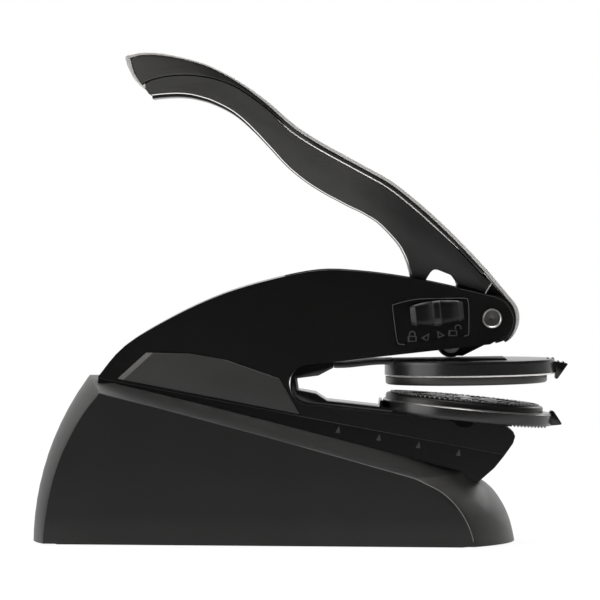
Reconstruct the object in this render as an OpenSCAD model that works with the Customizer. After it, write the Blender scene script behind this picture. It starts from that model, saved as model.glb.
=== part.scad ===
// Desk seal: a lever press on a weighted base. The lever turns on a pin in the nose of the
// body, and a roller on its short arm bends the upper half of a die clip down onto the lower.
// Frame: +X towards the dies, +Z up, the desk at Z = 0, the origin under the middle of the length.

/* [Base] */
// Distance from the origin back to the rear of the base
base_back = 88; // [86:0.5:94]
// Distance from the origin forward to the tip of the toe
base_toe = 70.8; // [69:0.2:76]
// Width of the base across its flat sides at the rear
base_w_rear = 40; // [38:1:46]
// Width of the base across its flat sides at the toe
base_w_front = 72; // [66:1:84]
// Wall of the hollow base moulding
base_wall = 3; // [2:0.1:3.6]
// Depth of the saddle that the body stands in
saddle_depth = 10; // [8:0.5:11]
// Thickness of the plate that closes the base
plate_t = 2; // [1.5:0.1:3]
// Thickness of the rubber sole under the plate
sole_t = 1.6; // [1.2:0.1:2.5]
// Height of the base wall's lower edge above the desk
skirt_lift = 0.6; // [0.3:0.1:1]
// Margin between the outside of the base and the sole
sole_margin = 6; // [5:0.5:10]

/* [Body] */
// Width of the body over its two halves
body_w = 30; // [28:0.5:34]
// Thickness of the cheeks beside the lever
cheek_t = 3; // [2.6:0.1:3.6]
// Floor of the lever bay in the upper arm
arm_wall = 3; // [2:0.1:4]
// Thickness of the plate let into the near half
label_t = 1.6; // [1.2:0.1:2]
// How far that plate stands out of the body
label_proud = 0.6; // [0.3:0.1:0.8]
// Depth of the step along the foot of the body
zone_d = 0.4; // [0.2:0.1:0.5]

/* [Pivot] */
// Diameter of the pivot pin
pivot_d = 5; // [4:0.1:5.6]
// Diameter of the pin's riveted heads
pivot_head_d = 6.6; // [6.2:0.1:8]
// Thickness of those heads
pivot_head_t = 0.9; // [0.6:0.1:1.5]
// Outside diameter of the thrust washer
washer_d = 11; // [8:0.5:13]

/* [Lever] */
// Gap between the lever and each cheek
side_gap = 1; // [0.8:0.1:1.2]
// Thickness of the metal band along the top of the lever
band_t = 1.5; // [1:0.1:2]
// Thickness of the strip along the underside of the lever
trim_t = 1.2; // [0.8:0.1:1.6]
// Thickness of the black moulding under the band, between the tip and the pivot
cap_line_t = 0.9; // [0.7:0.1:1.2]
// Thickness of each grip panel
panel_t = 3; // [2.6:0.1:3.6]
// Radius of the lever's nose about the pivot
nose_r = 9.2; // [8.6:0.1:10]

/* [Roller] */
// Diameter of the press roller
roller_d = 9.2; // [8.8:0.1:9.4]
// Length of the press roller
roller_w = 8; // [6:0.5:9]
// Diameter of the roller's pin
roller_pin_d = 3; // [2.4:0.1:3.6]

/* [Lock] */
// Travel of the lock from open to locked
lock_travel = 5; // [4.6:0.1:5.2]
// Diameter of the cross bar that catches the lever
lock_bar_d = 4; // [3.6:0.1:4.2]
// Length of the thumb button
button_l = 17.5; // [15:0.1:17.6]
// Height of the thumb button
button_h = 7.8; // [7:0.1:8]
// How far the thumb button stands out of the cheek
button_proud = 2; // [1.4:0.1:2.6]
// Depth of the window that the button slides in
window_d = 0.8; // [0.5:0.1:1]

/* [Die clip] */
// Diameter of the two dies
die_d = 51.4; // [46:0.2:53]
// Wall of the round holders outside the dies
rim_w = 1.6; // [1.2:0.1:2.4]
// Height of the holders
holder_t = 4.6; // [4.2:0.1:5.2]
// Depth of the die seat in a holder
seat_d = 2.6; // [2:0.1:3]
// How far the lower die stands above its holder
die_proud = 1.1; // [0.8:0.1:1.4]
// Gap left between the closed dies
paper_gap = 0.4; // [0.3:0.05:0.8]
// Thickness of the clip's leaves
leaf_t = 1.6; // [1.2:0.1:1.8]
// Width of the clip behind the dies
clip_w = 26; // [18:1:28]
// Length of the guide lugs that hang from the lower holder beside the arm
lug_l = 7; // [5:0.1:9]
// How far the guide lugs hang down
lug_drop = 3.4; // [2.6:0.1:5]
// Width of the pointer tabs at the front
pointer_w = 6; // [4:0.5:10]

/* [Return spring] */
// Diameter of the spring wire
wire_d = 0.7; // [0.5:0.05:0.7]
// Mean radius of the spring's curls
curl_r = 5; // [4.8:0.1:5.6]

/* [Fasteners] */
// Thread diameter of all screws
screw_d = 3; // [2.5:0.1:3.4]
// Diameter of their heads
screw_head_d = 5.6; // [5:0.1:6.4]
// Height of their heads
screw_head_t = 1.8; // [1.4:0.1:2.2]
// How far the screws reach into the second piece
screw_grip = 8; // [6:0.5:9]

/* [Clearances] */
// Radial clearance of turning and sliding fits
run_gap = 0.05; // [0.03:0.01:0.1]
// Clearance between pieces that move past each other
move_gap = 0.35; // [0.3:0.05:0.5]
// Clearance between pieces that are fixed together
fit_gap = 0.02; // [0.01:0.01:0.05]
// Clearance round the body in its saddle
saddle_gap = 0.15; // [0.1:0.05:0.3]

/* [Hidden] */
$fn = 64;
eps = 0.01;
big = 260;

// The throat: two straight edges that open at this angle from a round end
throat_tilt = 6.4;
throat_end = [3, 52.2];
throat_r = 6.6;
function arm_under(x) = throat_end.y + throat_r / cos(throat_tilt) + (x - throat_end.x) * tan(throat_tilt);
function arm_top(x) = throat_end.y - throat_r / cos(throat_tilt) - (x - throat_end.x) * tan(throat_tilt);

// The crown of the base: the top of a cone that lies along the base and widens to the front
crown_tilt = 15.2;
crown_half = 27.6;
crown_z = 39.4;
crown_apex = [-131.6, 0, crown_z + 131.6 * tan(crown_tilt)];
// A wide round that takes the top off the crown at the rear
brow_z = 55;
brow_r = 52;
function crown_at(x) = crown_z - x * tan(crown_tilt);
function saddle_at(x) = crown_at(x) - saddle_depth;

// Plan of the base: a bulged rear wall, flat sides that taper, and a round toe
rear_r = 51;
rear_lean_r = 93.6;
toe_r = 52;
side_rear_x = -84;
side_front_x = 58;
side_slope = (base_w_front - base_w_rear) / 2 / (side_front_x - side_rear_x);
function side_at(x) = base_w_rear / 2 + (x - side_rear_x) * side_slope;

// Widths across the lever, from the outside of the body inwards
bay_w = body_w - 2 * cheek_t;
lever_w = bay_w - 2 * side_gap;
core_w = lever_w - 2 * panel_t;

// The pivot and what turns with the lever, in side view
pivot = [62.8, 74];
hub_r = nose_r - band_t;
roller_at = pivot + [-13.2, -8.5];
bar_at = [44.8, 75.7];
lock_tilt = 5.5;
lock_dir = [-cos(lock_tilt), -sin(lock_tilt)];
bay_rear = -5;
bay_front = 43.5;

// The die clip: the flat lower half lies on the lower arm, the upper half bends at its leaf
flex_at = [19.5, arm_under(19.5) - 2.1];
upper_tilt = -0.8;
leaf_x = [11, 28];
die_x = 55.3;
leaf_end = die_x + 14;
tab_z = 4.1;
holder_r = die_d / 2 + fit_gap + rim_w;
low_leaf_z = move_gap;
low_rim_z = low_leaf_z + leaf_t;
low_face_z = low_rim_z + holder_t + die_proud;
flex_over_arm = (flex_at.y - arm_top(flex_at.x)) * cos(throat_tilt);
up_rim_z = 1;
up_holder_t = holder_t + 0.45;
up_face_z = low_face_z + paper_gap - flex_over_arm;

// Feet of the posts and of the screws
post_r = 4.2;
post_inset = base_wall + post_r + 3.5;
post_at = [for (x = [-68, 38]) for (s = [1, -1]) [x, s * (side_at(x) - post_inset)]];
saddle_screw_at = [[-44, 8], [-44, -8], [34, 8], [34, -8]];
shell_screw_at = [[-48, 60], [-14, 70], [12, 38.5], [58, 31]];
label_pts = [[-59.7, 54.3], [-50.3, 62.8], [-36.1, 62.5], [-24.9, 60.6], [-6.8, 54.3], [-0.2, 42.7]];
// The upper edge of the step along the foot of the body
zone_tilt = 10.7;
function zone_at(x) = 42 - x * tan(zone_tilt);
window_pts = [[29.7, 79], [37.4, 80.5], [54.1, 80.9], [55.5, 79.7], [55.5, 68.7], [31.2, 65.2]];

// Curves and helpers

function spline_at(a, b, c, d, t) =
    0.5 * (2 * b + (c - a) * t + (2 * a - 5 * b + 4 * c - d) * t * t + (3 * b - a - 3 * c + d) * t * t * t);
// A smooth curve through the given points, with n steps between two of them
function through(p, n) = let (m = len(p) - 1) [
    for (i = [0:m - 1]) for (k = [0:n - 1])
        spline_at(p[max(i - 1, 0)], p[i], p[i + 1], p[min(i + 2, m)], k / n),
    p[m]
];
function arc(c, r, a0, a1, n) = [for (i = [0:n]) c + r * [cos(a0 + (a1 - a0) * i / n), sin(a0 + (a1 - a0) * i / n)]];
function unit(v) = v / norm(v);
function left_of(v) = [-v.y, v.x];
// An open curve moved sideways, to its left for a positive distance
function beside(p, d) = let (m = len(p) - 1) [
    for (i = [0:m]) p[i] + d * left_of(unit(p[min(i + 1, m)] - p[max(i - 1, 0)]))
];
// A closed outline moved by d along its sides, outwards when the points run clockwise
function grown(p, d) = let (n = len(p)) [
    for (i = [0:n - 1])
        let (a = left_of(unit(p[i] - p[(i + n - 1) % n])), b = left_of(unit(p[(i + 1) % n] - p[i])))
        p[i] + d * (a + b) / (1 + a * b)
];
function reversed(p) = [for (i = [len(p) - 1:-1:0]) p[i]];
function turned(v, a) = [v.x * cos(a) - v.y * sin(a), v.x * sin(a) + v.y * cos(a)];

// A side-view outline given thickness from y0 to y1
module slab(y0, y1) {
    translate([0, y1, 0]) rotate([90, 0, 0]) linear_extrude(y1 - y0) children();
}
module slab_mid(w) {
    slab(-w / 2, w / 2) children();
}
// A round bar along Y about a point of the side view
module rod(at, r, y0, y1) {
    translate([at.x, y1, at.y]) rotate([90, 0, 0]) cylinder(h = y1 - y0, r = r);
}
// The frame of the lower arm: X along its top edge, Z square to it
module on_arm() {
    translate([0, 0, arm_top(0)]) rotate([0, throat_tilt, 0]) children();
}
// A point of that frame in side view
function arm_pt(x, z) = [
    x * cos(throat_tilt) + z * sin(throat_tilt), arm_top(0) - x * sin(throat_tilt) + z * cos(throat_tilt)
];
// The frame of the upper half of the clip, about the place where its leaf bends
module on_flex() {
    translate([flex_at.x, 0, flex_at.y]) rotate([0, upper_tilt, 0]) children();
}
// The frame of the saddle: X along its floor, Z square to it
module on_saddle() {
    translate([0, 0, saddle_at(0)]) rotate([0, crown_tilt, 0]) children();
}

// Base

// The plan of the base with its leaning rear wall and its round toe, moved in by a wall
module base_plan(inset = 0) {
    side = inset * norm([1, side_slope]);
    rear_x = -base_back + rear_r;
    toe_x = base_toe - toe_r;
    rear_pts = [for (z = [0:5:70]) [rear_r - inset - rear_lean_r + sqrt(pow(rear_lean_r, 2) - z * z), z]];
    toe_pts = concat(
        through([[toe_r, 0], [51.5, 3], [50.3, 7.75], [48.2, 12.5], [45.5, 16.6], [43, 19.1], [40.4, 20.95],
            [37.5, 23.6], [34, 27]], 3),
        [[28, 34], [18, 46], [1, 64]]
    );
    intersection() {
        translate([0, 0, -1]) linear_extrude(90)
            polygon([for (s = [[-1, -150], [-1, 120], [1, 120], [1, -150]]) [s[1], s[0] * (side_at(s[1]) - side)]]);
        union() {
            translate([rear_x, 0, -1]) rotate_extrude()
                polygon(concat([[0, -1]], [[rear_r - inset, -1]], rear_pts, [[0, 70]]));
            translate([rear_x, -big / 2, -2]) cube([big, big, 90]);
        }
        union() {
            translate([toe_x, 0, -inset]) rotate_extrude()
                polygon(concat([[0, -2]], [[toe_r - inset, -2]], [for (p = toe_pts) [max(p.x - inset, 0), p.y]],
                    [[0, 66]]));
            translate([toe_x - big, -big / 2, -2]) cube([big, big, 90]);
        }
    }
}

// The whole form of the base under its crown, or the same form moved in by a wall
module base_form(inset = 0) {
    dip = crown_tilt + crown_half;
    intersection() {
        base_plan(inset);
        translate(crown_apex + inset / sin(crown_half) * [cos(dip), 0, -sin(dip)])
            rotate([0, 90 + dip, 0]) cylinder(h = big, r1 = 0, r2 = big * tan(crown_half));
        translate([-big / 2, 0, brow_z - brow_r]) rotate([0, 90, 0]) cylinder(h = big, r = brow_r - inset);
    }
}

// A flat sheet with the outline of the base
module base_sheet(inset, z, t) {
    intersection() {
        base_plan(inset);
        translate([-big / 2, -big / 2, z]) cube([big, big, t]);
    }
}

// The seat of the body in the base, as a side-view outline
module saddle_cut() {
    polygon([[-66 - saddle_gap, saddle_at(-66)], [-66 - saddle_gap, 120], [120, 120], [120, 75],
        [63.6 + 2 * saddle_gap, 25], [57.3 + 2 * saddle_gap, 19.5], [53, saddle_at(53)]]);
}

module screw(grip) {
    rotate([180, 0, 0]) {
        cylinder(h = screw_head_t, d = screw_head_d);
        translate([0, 0, -grip]) cylinder(h = grip + eps, d = screw_d);
    }
}

module base_shell() {
    floor_z = sole_t + plate_t;
    color("#353433") difference() {
        union() {
            difference() {
                intersection() {
                    base_form();
                    translate([-big / 2, -big / 2, skirt_lift]) cube([big, big, 90]);
                }
                base_form(base_wall);
            }
            // the tray under the body, and the posts that the bottom plate is screwed to
            intersection() {
                base_form();
                on_saddle() translate([-100, -body_w / 2 - base_wall, -base_wall])
                    cube([200, body_w + 2 * base_wall, saddle_depth + base_wall]);
            }
            intersection() {
                base_form();
                for (p = post_at) translate([p.x, p.y, floor_z]) cylinder(h = 80, r = post_r);
            }
        }
        slab_mid(body_w + 2 * saddle_gap) saddle_cut();
        for (p = post_at) translate([p.x, p.y, -1]) cylinder(h = floor_z + screw_grip + 2, d = screw_d + 2 * fit_gap);
        on_saddle() for (p = saddle_screw_at)
            translate([p.x, p.y, -20]) cylinder(h = 40, d = screw_d + 2 * fit_gap);
        on_saddle() for (p = saddle_screw_at)
            translate([p.x, p.y, -30]) cylinder(h = 30 - base_wall, d = screw_head_d + 1);
    }
}

module base_plate() {
    color("#2a2a2a") difference() {
        base_sheet(base_wall + saddle_gap, sole_t, plate_t);
        for (p = post_at) translate([p.x, p.y, 0]) {
            cylinder(h = 20, d = screw_d + 2 * fit_gap);
            translate([0, 0, sole_t - 1]) cylinder(h = 1 + min(screw_head_t, plate_t - 0.6), d = screw_head_d + 0.4);
        }
    }
}

module sole() {
    color("#1c1c1c") difference() {
        base_sheet(sole_margin, 0, sole_t);
        for (p = post_at) translate([p.x, p.y, -1]) cylinder(h = 10, d = screw_head_d + 1);
    }
}

module base_screw(i) {
    p = post_at[i];
    head = min(screw_head_t, plate_t - 0.6);
    color("#8d8f92") translate([p.x, p.y, sole_t + head]) screw(screw_grip);
}

// Body

body_top = concat(
    through([[-66, 55], [-57.3, 65], [-41.4, 74.6], [-25.6, 81.8], [-9.7, 86.6], [6.1, 89.7],
        [19.3, 89.4], [35.1, 87.4], [51, 84.2], [66.3, 80]], 4),
    arc(pivot, 7.05, 60, -62, 10)
);
body_pts = concat(
    [[-66, saddle_at(-66)]],
    body_top,
    [[62.2, arm_under(62.2)]],
    arc(throat_end, throat_r, 90 + throat_tilt, 270 - throat_tilt, 16),
    [[68, arm_top(68)], [69.8, 36.9], [70.4, 35.4], [69.7, 33.1], [66.6, 28.7], [63.6, 25], [57.3, 19.5],
        [53, saddle_at(53)]]
);

// The bay between the cheeks that the lever works in
module lever_bay() {
    slab_mid(bay_w) polygon([
        [bay_rear, arm_under(bay_rear) + arm_wall], [bay_rear, 120], [120, 120], [120, 55], [72, 55],
        [bay_front, arm_under(bay_front) - 3], [bay_front, arm_under(bay_front) + arm_wall]
    ]);
}

module lock_path(r, y0, y1) {
    far = bar_at + lock_travel * lock_dir;
    slab(y0, y1) union() {
        translate(bar_at) circle(r);
        translate(far) circle(r);
        translate(far) rotate(lock_tilt) translate([0, -r]) square([lock_travel, 2 * r]);
    }
}

module body_half(side) {
    y = [min(0, side * body_w / 2), max(0, side * body_w / 2)];
    difference() {
        slab(y[0], y[1]) polygon(body_pts);
        lever_bay();
        rod(pivot, pivot_d / 2 + fit_gap, -body_w, body_w);
        on_saddle() for (p = saddle_screw_at)
            translate([p.x, p.y, -2]) cylinder(h = screw_grip - base_wall + 2.5, d = screw_d + 2 * fit_gap);
        slab(min(side * body_w, side * (body_w / 2 - zone_d)), max(side * body_w, side * (body_w / 2 - zone_d)))
            polygon([[-big, zone_at(-big)], [big, zone_at(big)], [big, -big], [-big, -big]]);
        for (p = shell_screw_at) {
            rod(p, screw_d / 2 + fit_gap, -screw_grip - 0.5, body_w);
            rod(p, screw_head_d / 2 + 0.2, body_w / 2 - screw_head_t - 0.6, body_w);
        }
    }
}

module body_near() {
    color("#161616") difference() {
        body_half(-1);
        slab(-body_w, -body_w / 2 + label_t - label_proud) polygon(grown(label_pts, saddle_gap));
        slab(-body_w, -body_w / 2 + window_d) polygon(window_pts);
        lock_path(lock_bar_d / 2 + run_gap + 0.15, -body_w, 0);
    }
}

module body_far() {
    color("#161616") difference() {
        body_half(1);
        lock_path(lock_bar_d / 2 + run_gap + 0.15, 0, bay_w / 2 + cheek_t / 2 + 0.2);
    }
}

module body_screw(i) {
    p = saddle_screw_at[i];
    color("#8d8f92") on_saddle() translate([p.x, p.y, -base_wall]) screw(screw_grip);
}

module shell_screw(i) {
    p = shell_screw_at[i];
    color("#8d8f92") translate([p.x, body_w / 2 - screw_head_t - 0.6, p.y]) rotate([90, 0, 0])
        screw_along(body_w / 2 - screw_head_t - 0.6 + screw_grip);
}
module screw_along(grip) {
    cylinder(h = grip, d = screw_d);
    translate([0, 0, -screw_head_t]) cylinder(h = screw_head_t + eps, d = screw_head_d);
}

module label_plate() {
    y = -body_w / 2 - label_proud;
    color("#444342") slab(y, y + label_t) polygon(label_pts);
}

// Pivot

module pivot_pin() {
    head = body_w / 2 + pivot_head_t;
    color("#c9cacc") {
        rod(pivot, pivot_d / 2, -body_w / 2 - eps, body_w / 2 + eps);
        rod(pivot, pivot_head_d / 2, -head, -body_w / 2);
        rod(pivot, pivot_head_d / 2, body_w / 2, head);
    }
}

module thrust_washer() {
    t = side_gap - 0.2;
    color("#a9abae") difference() {
        rod(pivot, washer_d / 2, -bay_w / 2 + 0.1, -bay_w / 2 + 0.1 + t);
        rod(pivot, pivot_d / 2 + run_gap, -body_w, 0);
    }
}

// A torsion spring beside the hub: its curls fill the room between the lever and the far cheek,
// one leg lies under the lever and one on the floor of the bay
spring_from = 72;
spring_curls = 2 + (spring_from + 90) / 360;
spring_y = core_w / 2 + 0.3 + wire_d / 2;
spring_pitch = (panel_t + side_gap - 0.5 - wire_d) / spring_curls;
spring_rings = round(8 * spring_curls);
spring_path = concat(
    [[53, spring_y, 84.2]],
    [for (i = [0:spring_rings])
        let (part = i / spring_rings, a = spring_from - 360 * spring_curls * part)
        [pivot.x + curl_r * cos(a), spring_y + spring_pitch * spring_curls * part, pivot.y + curl_r * sin(a)]],
    [[42, spring_y + spring_pitch * spring_curls, arm_under(42) + arm_wall + wire_d / 2 + 0.1]]
);
// Least gap between two curls, measured on points along the wire
function spring_pt(t) = let (a = spring_from - 360 * t)
    [curl_r * cos(a), spring_pitch * t, curl_r * sin(a)];
spring_self_gap = min([for (i = [0:48]) for (j = [0:48])
    let (t = i / 48 * (spring_curls - 0.8), u = t + 0.8 + j / 48 * (spring_curls - 0.8 - t))
    norm(spring_pt(t) - spring_pt(u)) - wire_d]);
echo(spring_self_gap = spring_self_gap);

// A round tube of n sides swept along a path
module swept(path, r, n) {
    m = len(path) - 1;
    dirs = [for (i = [0:m]) unit(path[min(i + 1, m)] - path[max(i - 1, 0)])];
    rings = [for (i = [0:m])
        let (u = unit(cross(dirs[i], [0.13, 1, 0.07])), v = cross(dirs[i], u))
        [for (k = [0:n - 1]) path[i] + r * (cos(360 * k / n) * u + sin(360 * k / n) * v)]];
    pts = concat([path[0]], [for (q = rings) each q], [path[m]]);
    last = len(pts) - 1;
    faces = concat(
        [for (k = [0:n - 1]) [0, 1 + k, 1 + (k + 1) % n]],
        [for (i = [0:m - 1]) for (k = [0:n - 1]) [1 + i * n + k, 1 + (i + 1) * n + k, 1 + i * n + (k + 1) % n]],
        [for (i = [0:m - 1]) for (k = [0:n - 1])
            [1 + i * n + (k + 1) % n, 1 + (i + 1) * n + k, 1 + (i + 1) * n + (k + 1) % n]],
        [for (k = [0:n - 1]) [last, 1 + m * n + (k + 1) % n, 1 + m * n + k]]
    );
    polyhedron(pts, faces);
}

module return_spring() {
    color("#b4b6b9") swept(spring_path, wire_d / 2, 6);
}

// Lever

// Its top edge from the tip to the nose, and its lower edge from the tip to the leg
lever_top = concat(
    through([[-57.6, 159.2], [-53, 160.9], [-45, 160.7], [-33.5, 158.1], [-25.6, 154.8], [-17.7, 150.2],
        [-9.7, 144.3], [-1.8, 137.4], [6.1, 132.2], [14, 127.8], [21.9, 123.5], [29.9, 119], [37.8, 112.9],
        [45.7, 105.9], [53.6, 98.2], [61.5, 89.8]], 3),
    arc(pivot, nose_r, 46, -62, 14)
);
lever_under = through([[-48.3, 146.2], [-41, 146.8], [-33.5, 145.9], [-17.7, 137.6], [-7.1, 127.1],
    [0.8, 119.9], [16.7, 111.2], [29.9, 101.3], [35.1, 92.7], [36.5, 86.6]], 4);
band_in = beside(lever_top, -band_t);
// The band also wraps the end of the tip: its outer and inner edge there
tip_out = [[-52, 150.4], [-53.3, 152.4], [-54.7, 154.6], [-56, 156.7]];
tip_in = [[-52.4, 151.6], [-53.6, 153.9], [-54.7, 156.3], [-55.5, 158.5]];
// The black moulding under the band is thick at the tip and thin from there to the pivot
cap_thin = 21;
cap_last = 43;
thin_line = beside(lever_top, -band_t - cap_line_t);
cap_edge = concat(
    through([[-51.9, 152.3], [-49.5, 153.6], [-45, 154.6], [-37, 154.4], [-28, 151.6], [-19.9, 146.9],
        [-11.6, 142], thin_line[cap_thin]], 4),
    [for (i = [cap_thin + 1:cap_last]) thin_line[i]]
);
trim_in = beside(lever_under, trim_t);
// The notch that the lock bar works in, from its right wall over the top to the hook
notch = [[48.6, 69.9], [50.6, 75.4], [51.2, 80.4], [51.7, 85.4], [49.8, 88], [44.4, 90.2], [42.8, 89.4],
    [41.2, 86.6], [39.4, 84.9], [39.4, 81.6], [42.7, 81.2], [42.9, 79.6], [41.4, 78.4], [37.2, 78.6], [36.3, 80.4]];
notch_top = [for (i = [3:7]) notch[i]];
after_cap = [for (i = [cap_last:len(band_in) - 1]) if (band_in[i].y > pivot.y + 16) band_in[i]];

module lever_core() {
    lip = beside(cap_edge, -0.15);
    outline = concat(
        lip,
        after_cap,
        arc(pivot, hub_r, 44, -100, 14),
        arc(roller_at, roller_d / 2 - 0.7, -84, -220, 10),
        notch,
        reversed(trim_in)
    );
    color("#1b1b1b") difference() {
        union() {
            slab_mid(core_w) polygon(outline);
            rod(pivot, hub_r - fit_gap, -lever_w / 2, 0);
            rod(pivot, curl_r - wire_d / 2 - 0.9, 0, lever_w / 2);
        }
        rod(pivot, pivot_d / 2 + run_gap, -body_w, body_w);
        rod(roller_at, roller_pin_d / 2 + fit_gap, -body_w, body_w);
        rod(roller_at, roller_d / 2 + 0.6, -roller_w / 2 - 0.25, roller_w / 2 + 0.25);
    }
}

module lever_band() {
    over = [for (p = lever_top) if (p.x > -57.7) p];
    under = [for (p = beside(lever_top, -band_t + fit_gap)) if (p.x > -54.2) p];
    color("#a8a9ab") slab_mid(lever_w) polygon(concat(tip_out, over, reversed(under), reversed(tip_in)));
}

module lever_trim() {
    color("#2a2a2b") slab_mid(lever_w) polygon(concat(lever_under, reversed(beside(lever_under, trim_t - fit_gap))));
}

module lever_cap() {
    over = [for (i = [0:cap_last]) if (band_in[i].x > -54) band_in[i]];
    tip = [for (p = tip_in) p + [0.15, -0.1]];
    color("#101010") slab_mid(lever_w)
        polygon(concat(over, reversed(beside(cap_edge, 0.15)), tip));
}

module grip(side) {
    y = side * (core_w + panel_t) / 2;
    outline = concat(
        [[-49.6, 147.6], [-50.4, 149], [-50.5, 150.6]],
        [for (p = beside(cap_edge, -0.3)) if (p.x > -49.8) p],
        [[62.8, 85.5], [60.6, 82.4]],
        notch_top,
        [[38.2, 87.4]],
        reversed(beside(lever_under, trim_t + 0.15))
    );
    color("#3b3a39") translate([0, y, 0]) slab_mid(panel_t - 2 * fit_gap) polygon(outline);
}

module grip_near() {
    grip(-1);
}

module grip_far() {
    grip(1);
}

module roller_pin() {
    color("#b4b6b9") rod(roller_at, roller_pin_d / 2, -core_w / 2, core_w / 2);
}

module press_roller() {
    color("#c2c4c7") difference() {
        rod(roller_at, roller_d / 2, -roller_w / 2, roller_w / 2);
        rod(roller_at, roller_pin_d / 2 + run_gap, -roller_w, roller_w);
    }
}

// Lock

module lock_button() {
    y = -body_w / 2 + window_d - 0.12;
    t = button_proud + window_d - 0.12;
    h = button_h / 2;
    l = button_l / 2;
    c = 1.6;
    color("#1d1d1d") difference() {
        translate([bar_at.x, 0, bar_at.y]) rotate([0, -lock_tilt, 0]) union() {
            slab(y - t, y) polygon([[-l, -h + c], [-l, h - c], [-l + c, h], [l - c, h], [l, h - c], [l, -h + c],
                [l - c, -h], [-l + c, -h]]);
            // the raised rib that the thumb pushes
            slab(y - t - 0.7, y - t + eps) translate([-0.8, -h + 0.6]) square([1.6, button_h - 1.2]);
        }
        rod(bar_at, lock_bar_d / 2 + fit_gap, y - 1.2, 0);
    }
}

module lock_bar() {
    color("#b4b6b9") rod(bar_at, lock_bar_d / 2, -body_w / 2 + window_d - 1.2, bay_w / 2 + cheek_t / 2);
}

module lock_keeper() {
    color("#8d8f92") difference() {
        rod(bar_at, 3.6, -bay_w / 2 + 0.12, -bay_w / 2 + side_gap - 0.1);
        rod(bar_at, lock_bar_d / 2 + fit_gap, -body_w, 0);
    }
}

// Die clip

module clip_frame() {
    out_r = throat_r - move_gap;
    slit_r = 2.65;
    slit = [1.25, throat_end.y];
    // a tab is turned up out of the lower leaf, behind the rim of the holder
    tab_x = die_x - holder_r - 0.15;
    tab = [arm_pt(tab_x, low_rim_z), arm_pt(tab_x, tab_z), arm_pt(tab_x - 1.2, tab_z), arm_pt(tab_x - 1.2, low_rim_z)];
    // the bent root in the throat with its upper and lower blocks, drawn in one with the lower leaf
    color("#19191a") slab_mid(clip_w) polygon(concat(
        arc(throat_end, out_r, 90 + throat_tilt, 270 - throat_tilt, 14),
        [[leaf_end, arm_top(leaf_end) + low_leaf_z / cos(throat_tilt)],
            [leaf_end, arm_top(leaf_end) + low_rim_z / cos(throat_tilt)], each tab,
            [8.9, arm_top(8.9) + low_rim_z / cos(throat_tilt)], [5, slit.y - slit_r]],
        arc(slit, slit_r, 270, 90, 10),
        [[6.2, slit.y + slit_r], [leaf_x[0], flex_at.y - leaf_t / 2], [leaf_x[0], flex_at.y + leaf_t / 2]]
    ));
}

module upper_leaf() {
    color("#232324") difference() {
        on_flex() translate([leaf_x[0] - flex_at.x + 0.05, -clip_w / 2, -leaf_t / 2])
            cube([leaf_x[1] + 8 - leaf_x[0], clip_w, leaf_t]);
        on_flex() translate([die_x - flex_at.x, 0, -20]) cylinder(h = 40, r = holder_r + 0.25);
    }
}

module holder(seat_from) {
    difference() {
        cylinder(h = holder_t, r = holder_r);
        translate([0, 0, seat_from]) cylinder(h = seat_d + eps, r = die_d / 2 + fit_gap);
    }
}

module lower_holder() {
    lug_in = body_w / 2 + move_gap + 0.15;
    color("#1d1d1e") on_arm() translate([die_x, 0, low_rim_z]) union() {
        holder(holder_t - seat_d);
        for (y = [-lug_in - 2.5, lug_in]) translate([-lug_l / 2 - 1.4, y, -lug_drop]) cube([lug_l, 2.5, lug_drop + 1]);
    }
}

module lower_die() {
    color("#8b8c8e") on_arm() translate([die_x, 0, low_face_z - die_proud - seat_d])
        cylinder(h = seat_d + die_proud, d = die_d);
}

module lower_pointer() {
    x = die_x + holder_r;
    color("#121212") on_arm() difference() {
        translate([0, 0, low_rim_z]) slab_mid(pointer_w)
            polygon([[x - 2, 0.3], [x - 2, 4.4], [x + 0.8, 4.6], [x + 4.6, 0.9], [x + 1.2, 0.3]]);
        translate([die_x, 0, 0]) cylinder(h = 20, r = holder_r + fit_gap);
    }
}

module upper_holder() {
    color("#1d1d1e") on_flex() translate([die_x - flex_at.x, 0, up_rim_z - up_holder_t]) difference() {
        cylinder(h = up_holder_t, r = holder_r);
        translate([0, 0, -eps]) cylinder(h = seat_d + eps, r = die_d / 2 + fit_gap);
    }
}

module upper_die() {
    color("#8b8c8e") on_flex() translate([die_x - flex_at.x, 0, up_face_z])
        cylinder(h = up_rim_z - up_holder_t + seat_d - up_face_z, d = die_d);
}

module upper_pointer() {
    x = die_x - flex_at.x + holder_r;
    color("#121212") on_flex() difference() {
        translate([0, 0, up_rim_z]) slab_mid(pointer_w)
            polygon([[x - 2, -0.2], [x, -0.2], [x + 5.4, -0.9], [x + 2, -5.4], [x - 2, -5.4]]);
        translate([die_x - flex_at.x, 0, -20]) cylinder(h = 40, r = holder_r + fit_gap);
    }
}

base_shell();
base_plate();
sole();
base_screw(0);  // base_screw_1
base_screw(1);  // base_screw_2
base_screw(2);  // base_screw_3
base_screw(3);  // base_screw_4
body_near();
body_far();
body_screw(0);  // body_screw_1
body_screw(1);  // body_screw_2
body_screw(2);  // body_screw_3
body_screw(3);  // body_screw_4
shell_screw(0);  // shell_screw_1
shell_screw(1);  // shell_screw_2
shell_screw(2);  // shell_screw_3
shell_screw(3);  // shell_screw_4
label_plate();
pivot_pin();
thrust_washer();
return_spring();
lever_core();
lever_band();
lever_trim();
lever_cap();
grip_near();
grip_far();
roller_pin();
press_roller();
lock_button();
lock_bar();
lock_keeper();
clip_frame();
upper_leaf();
lower_holder();
lower_die();
lower_pointer();
upper_holder();
upper_die();
upper_pointer();
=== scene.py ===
# %% [markdown]
# # A desk seal, dressed piece by piece
#
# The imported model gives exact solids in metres, each at its final place. This file
# loads them as a fixed frame and then models what the eye sees: rounded edges, polished
# lines, ridged rims, engraved dies and the finishes.

# %% Load the frame
import math
from contextlib import contextmanager

import bpy
from mathutils import Matrix, Vector


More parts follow.
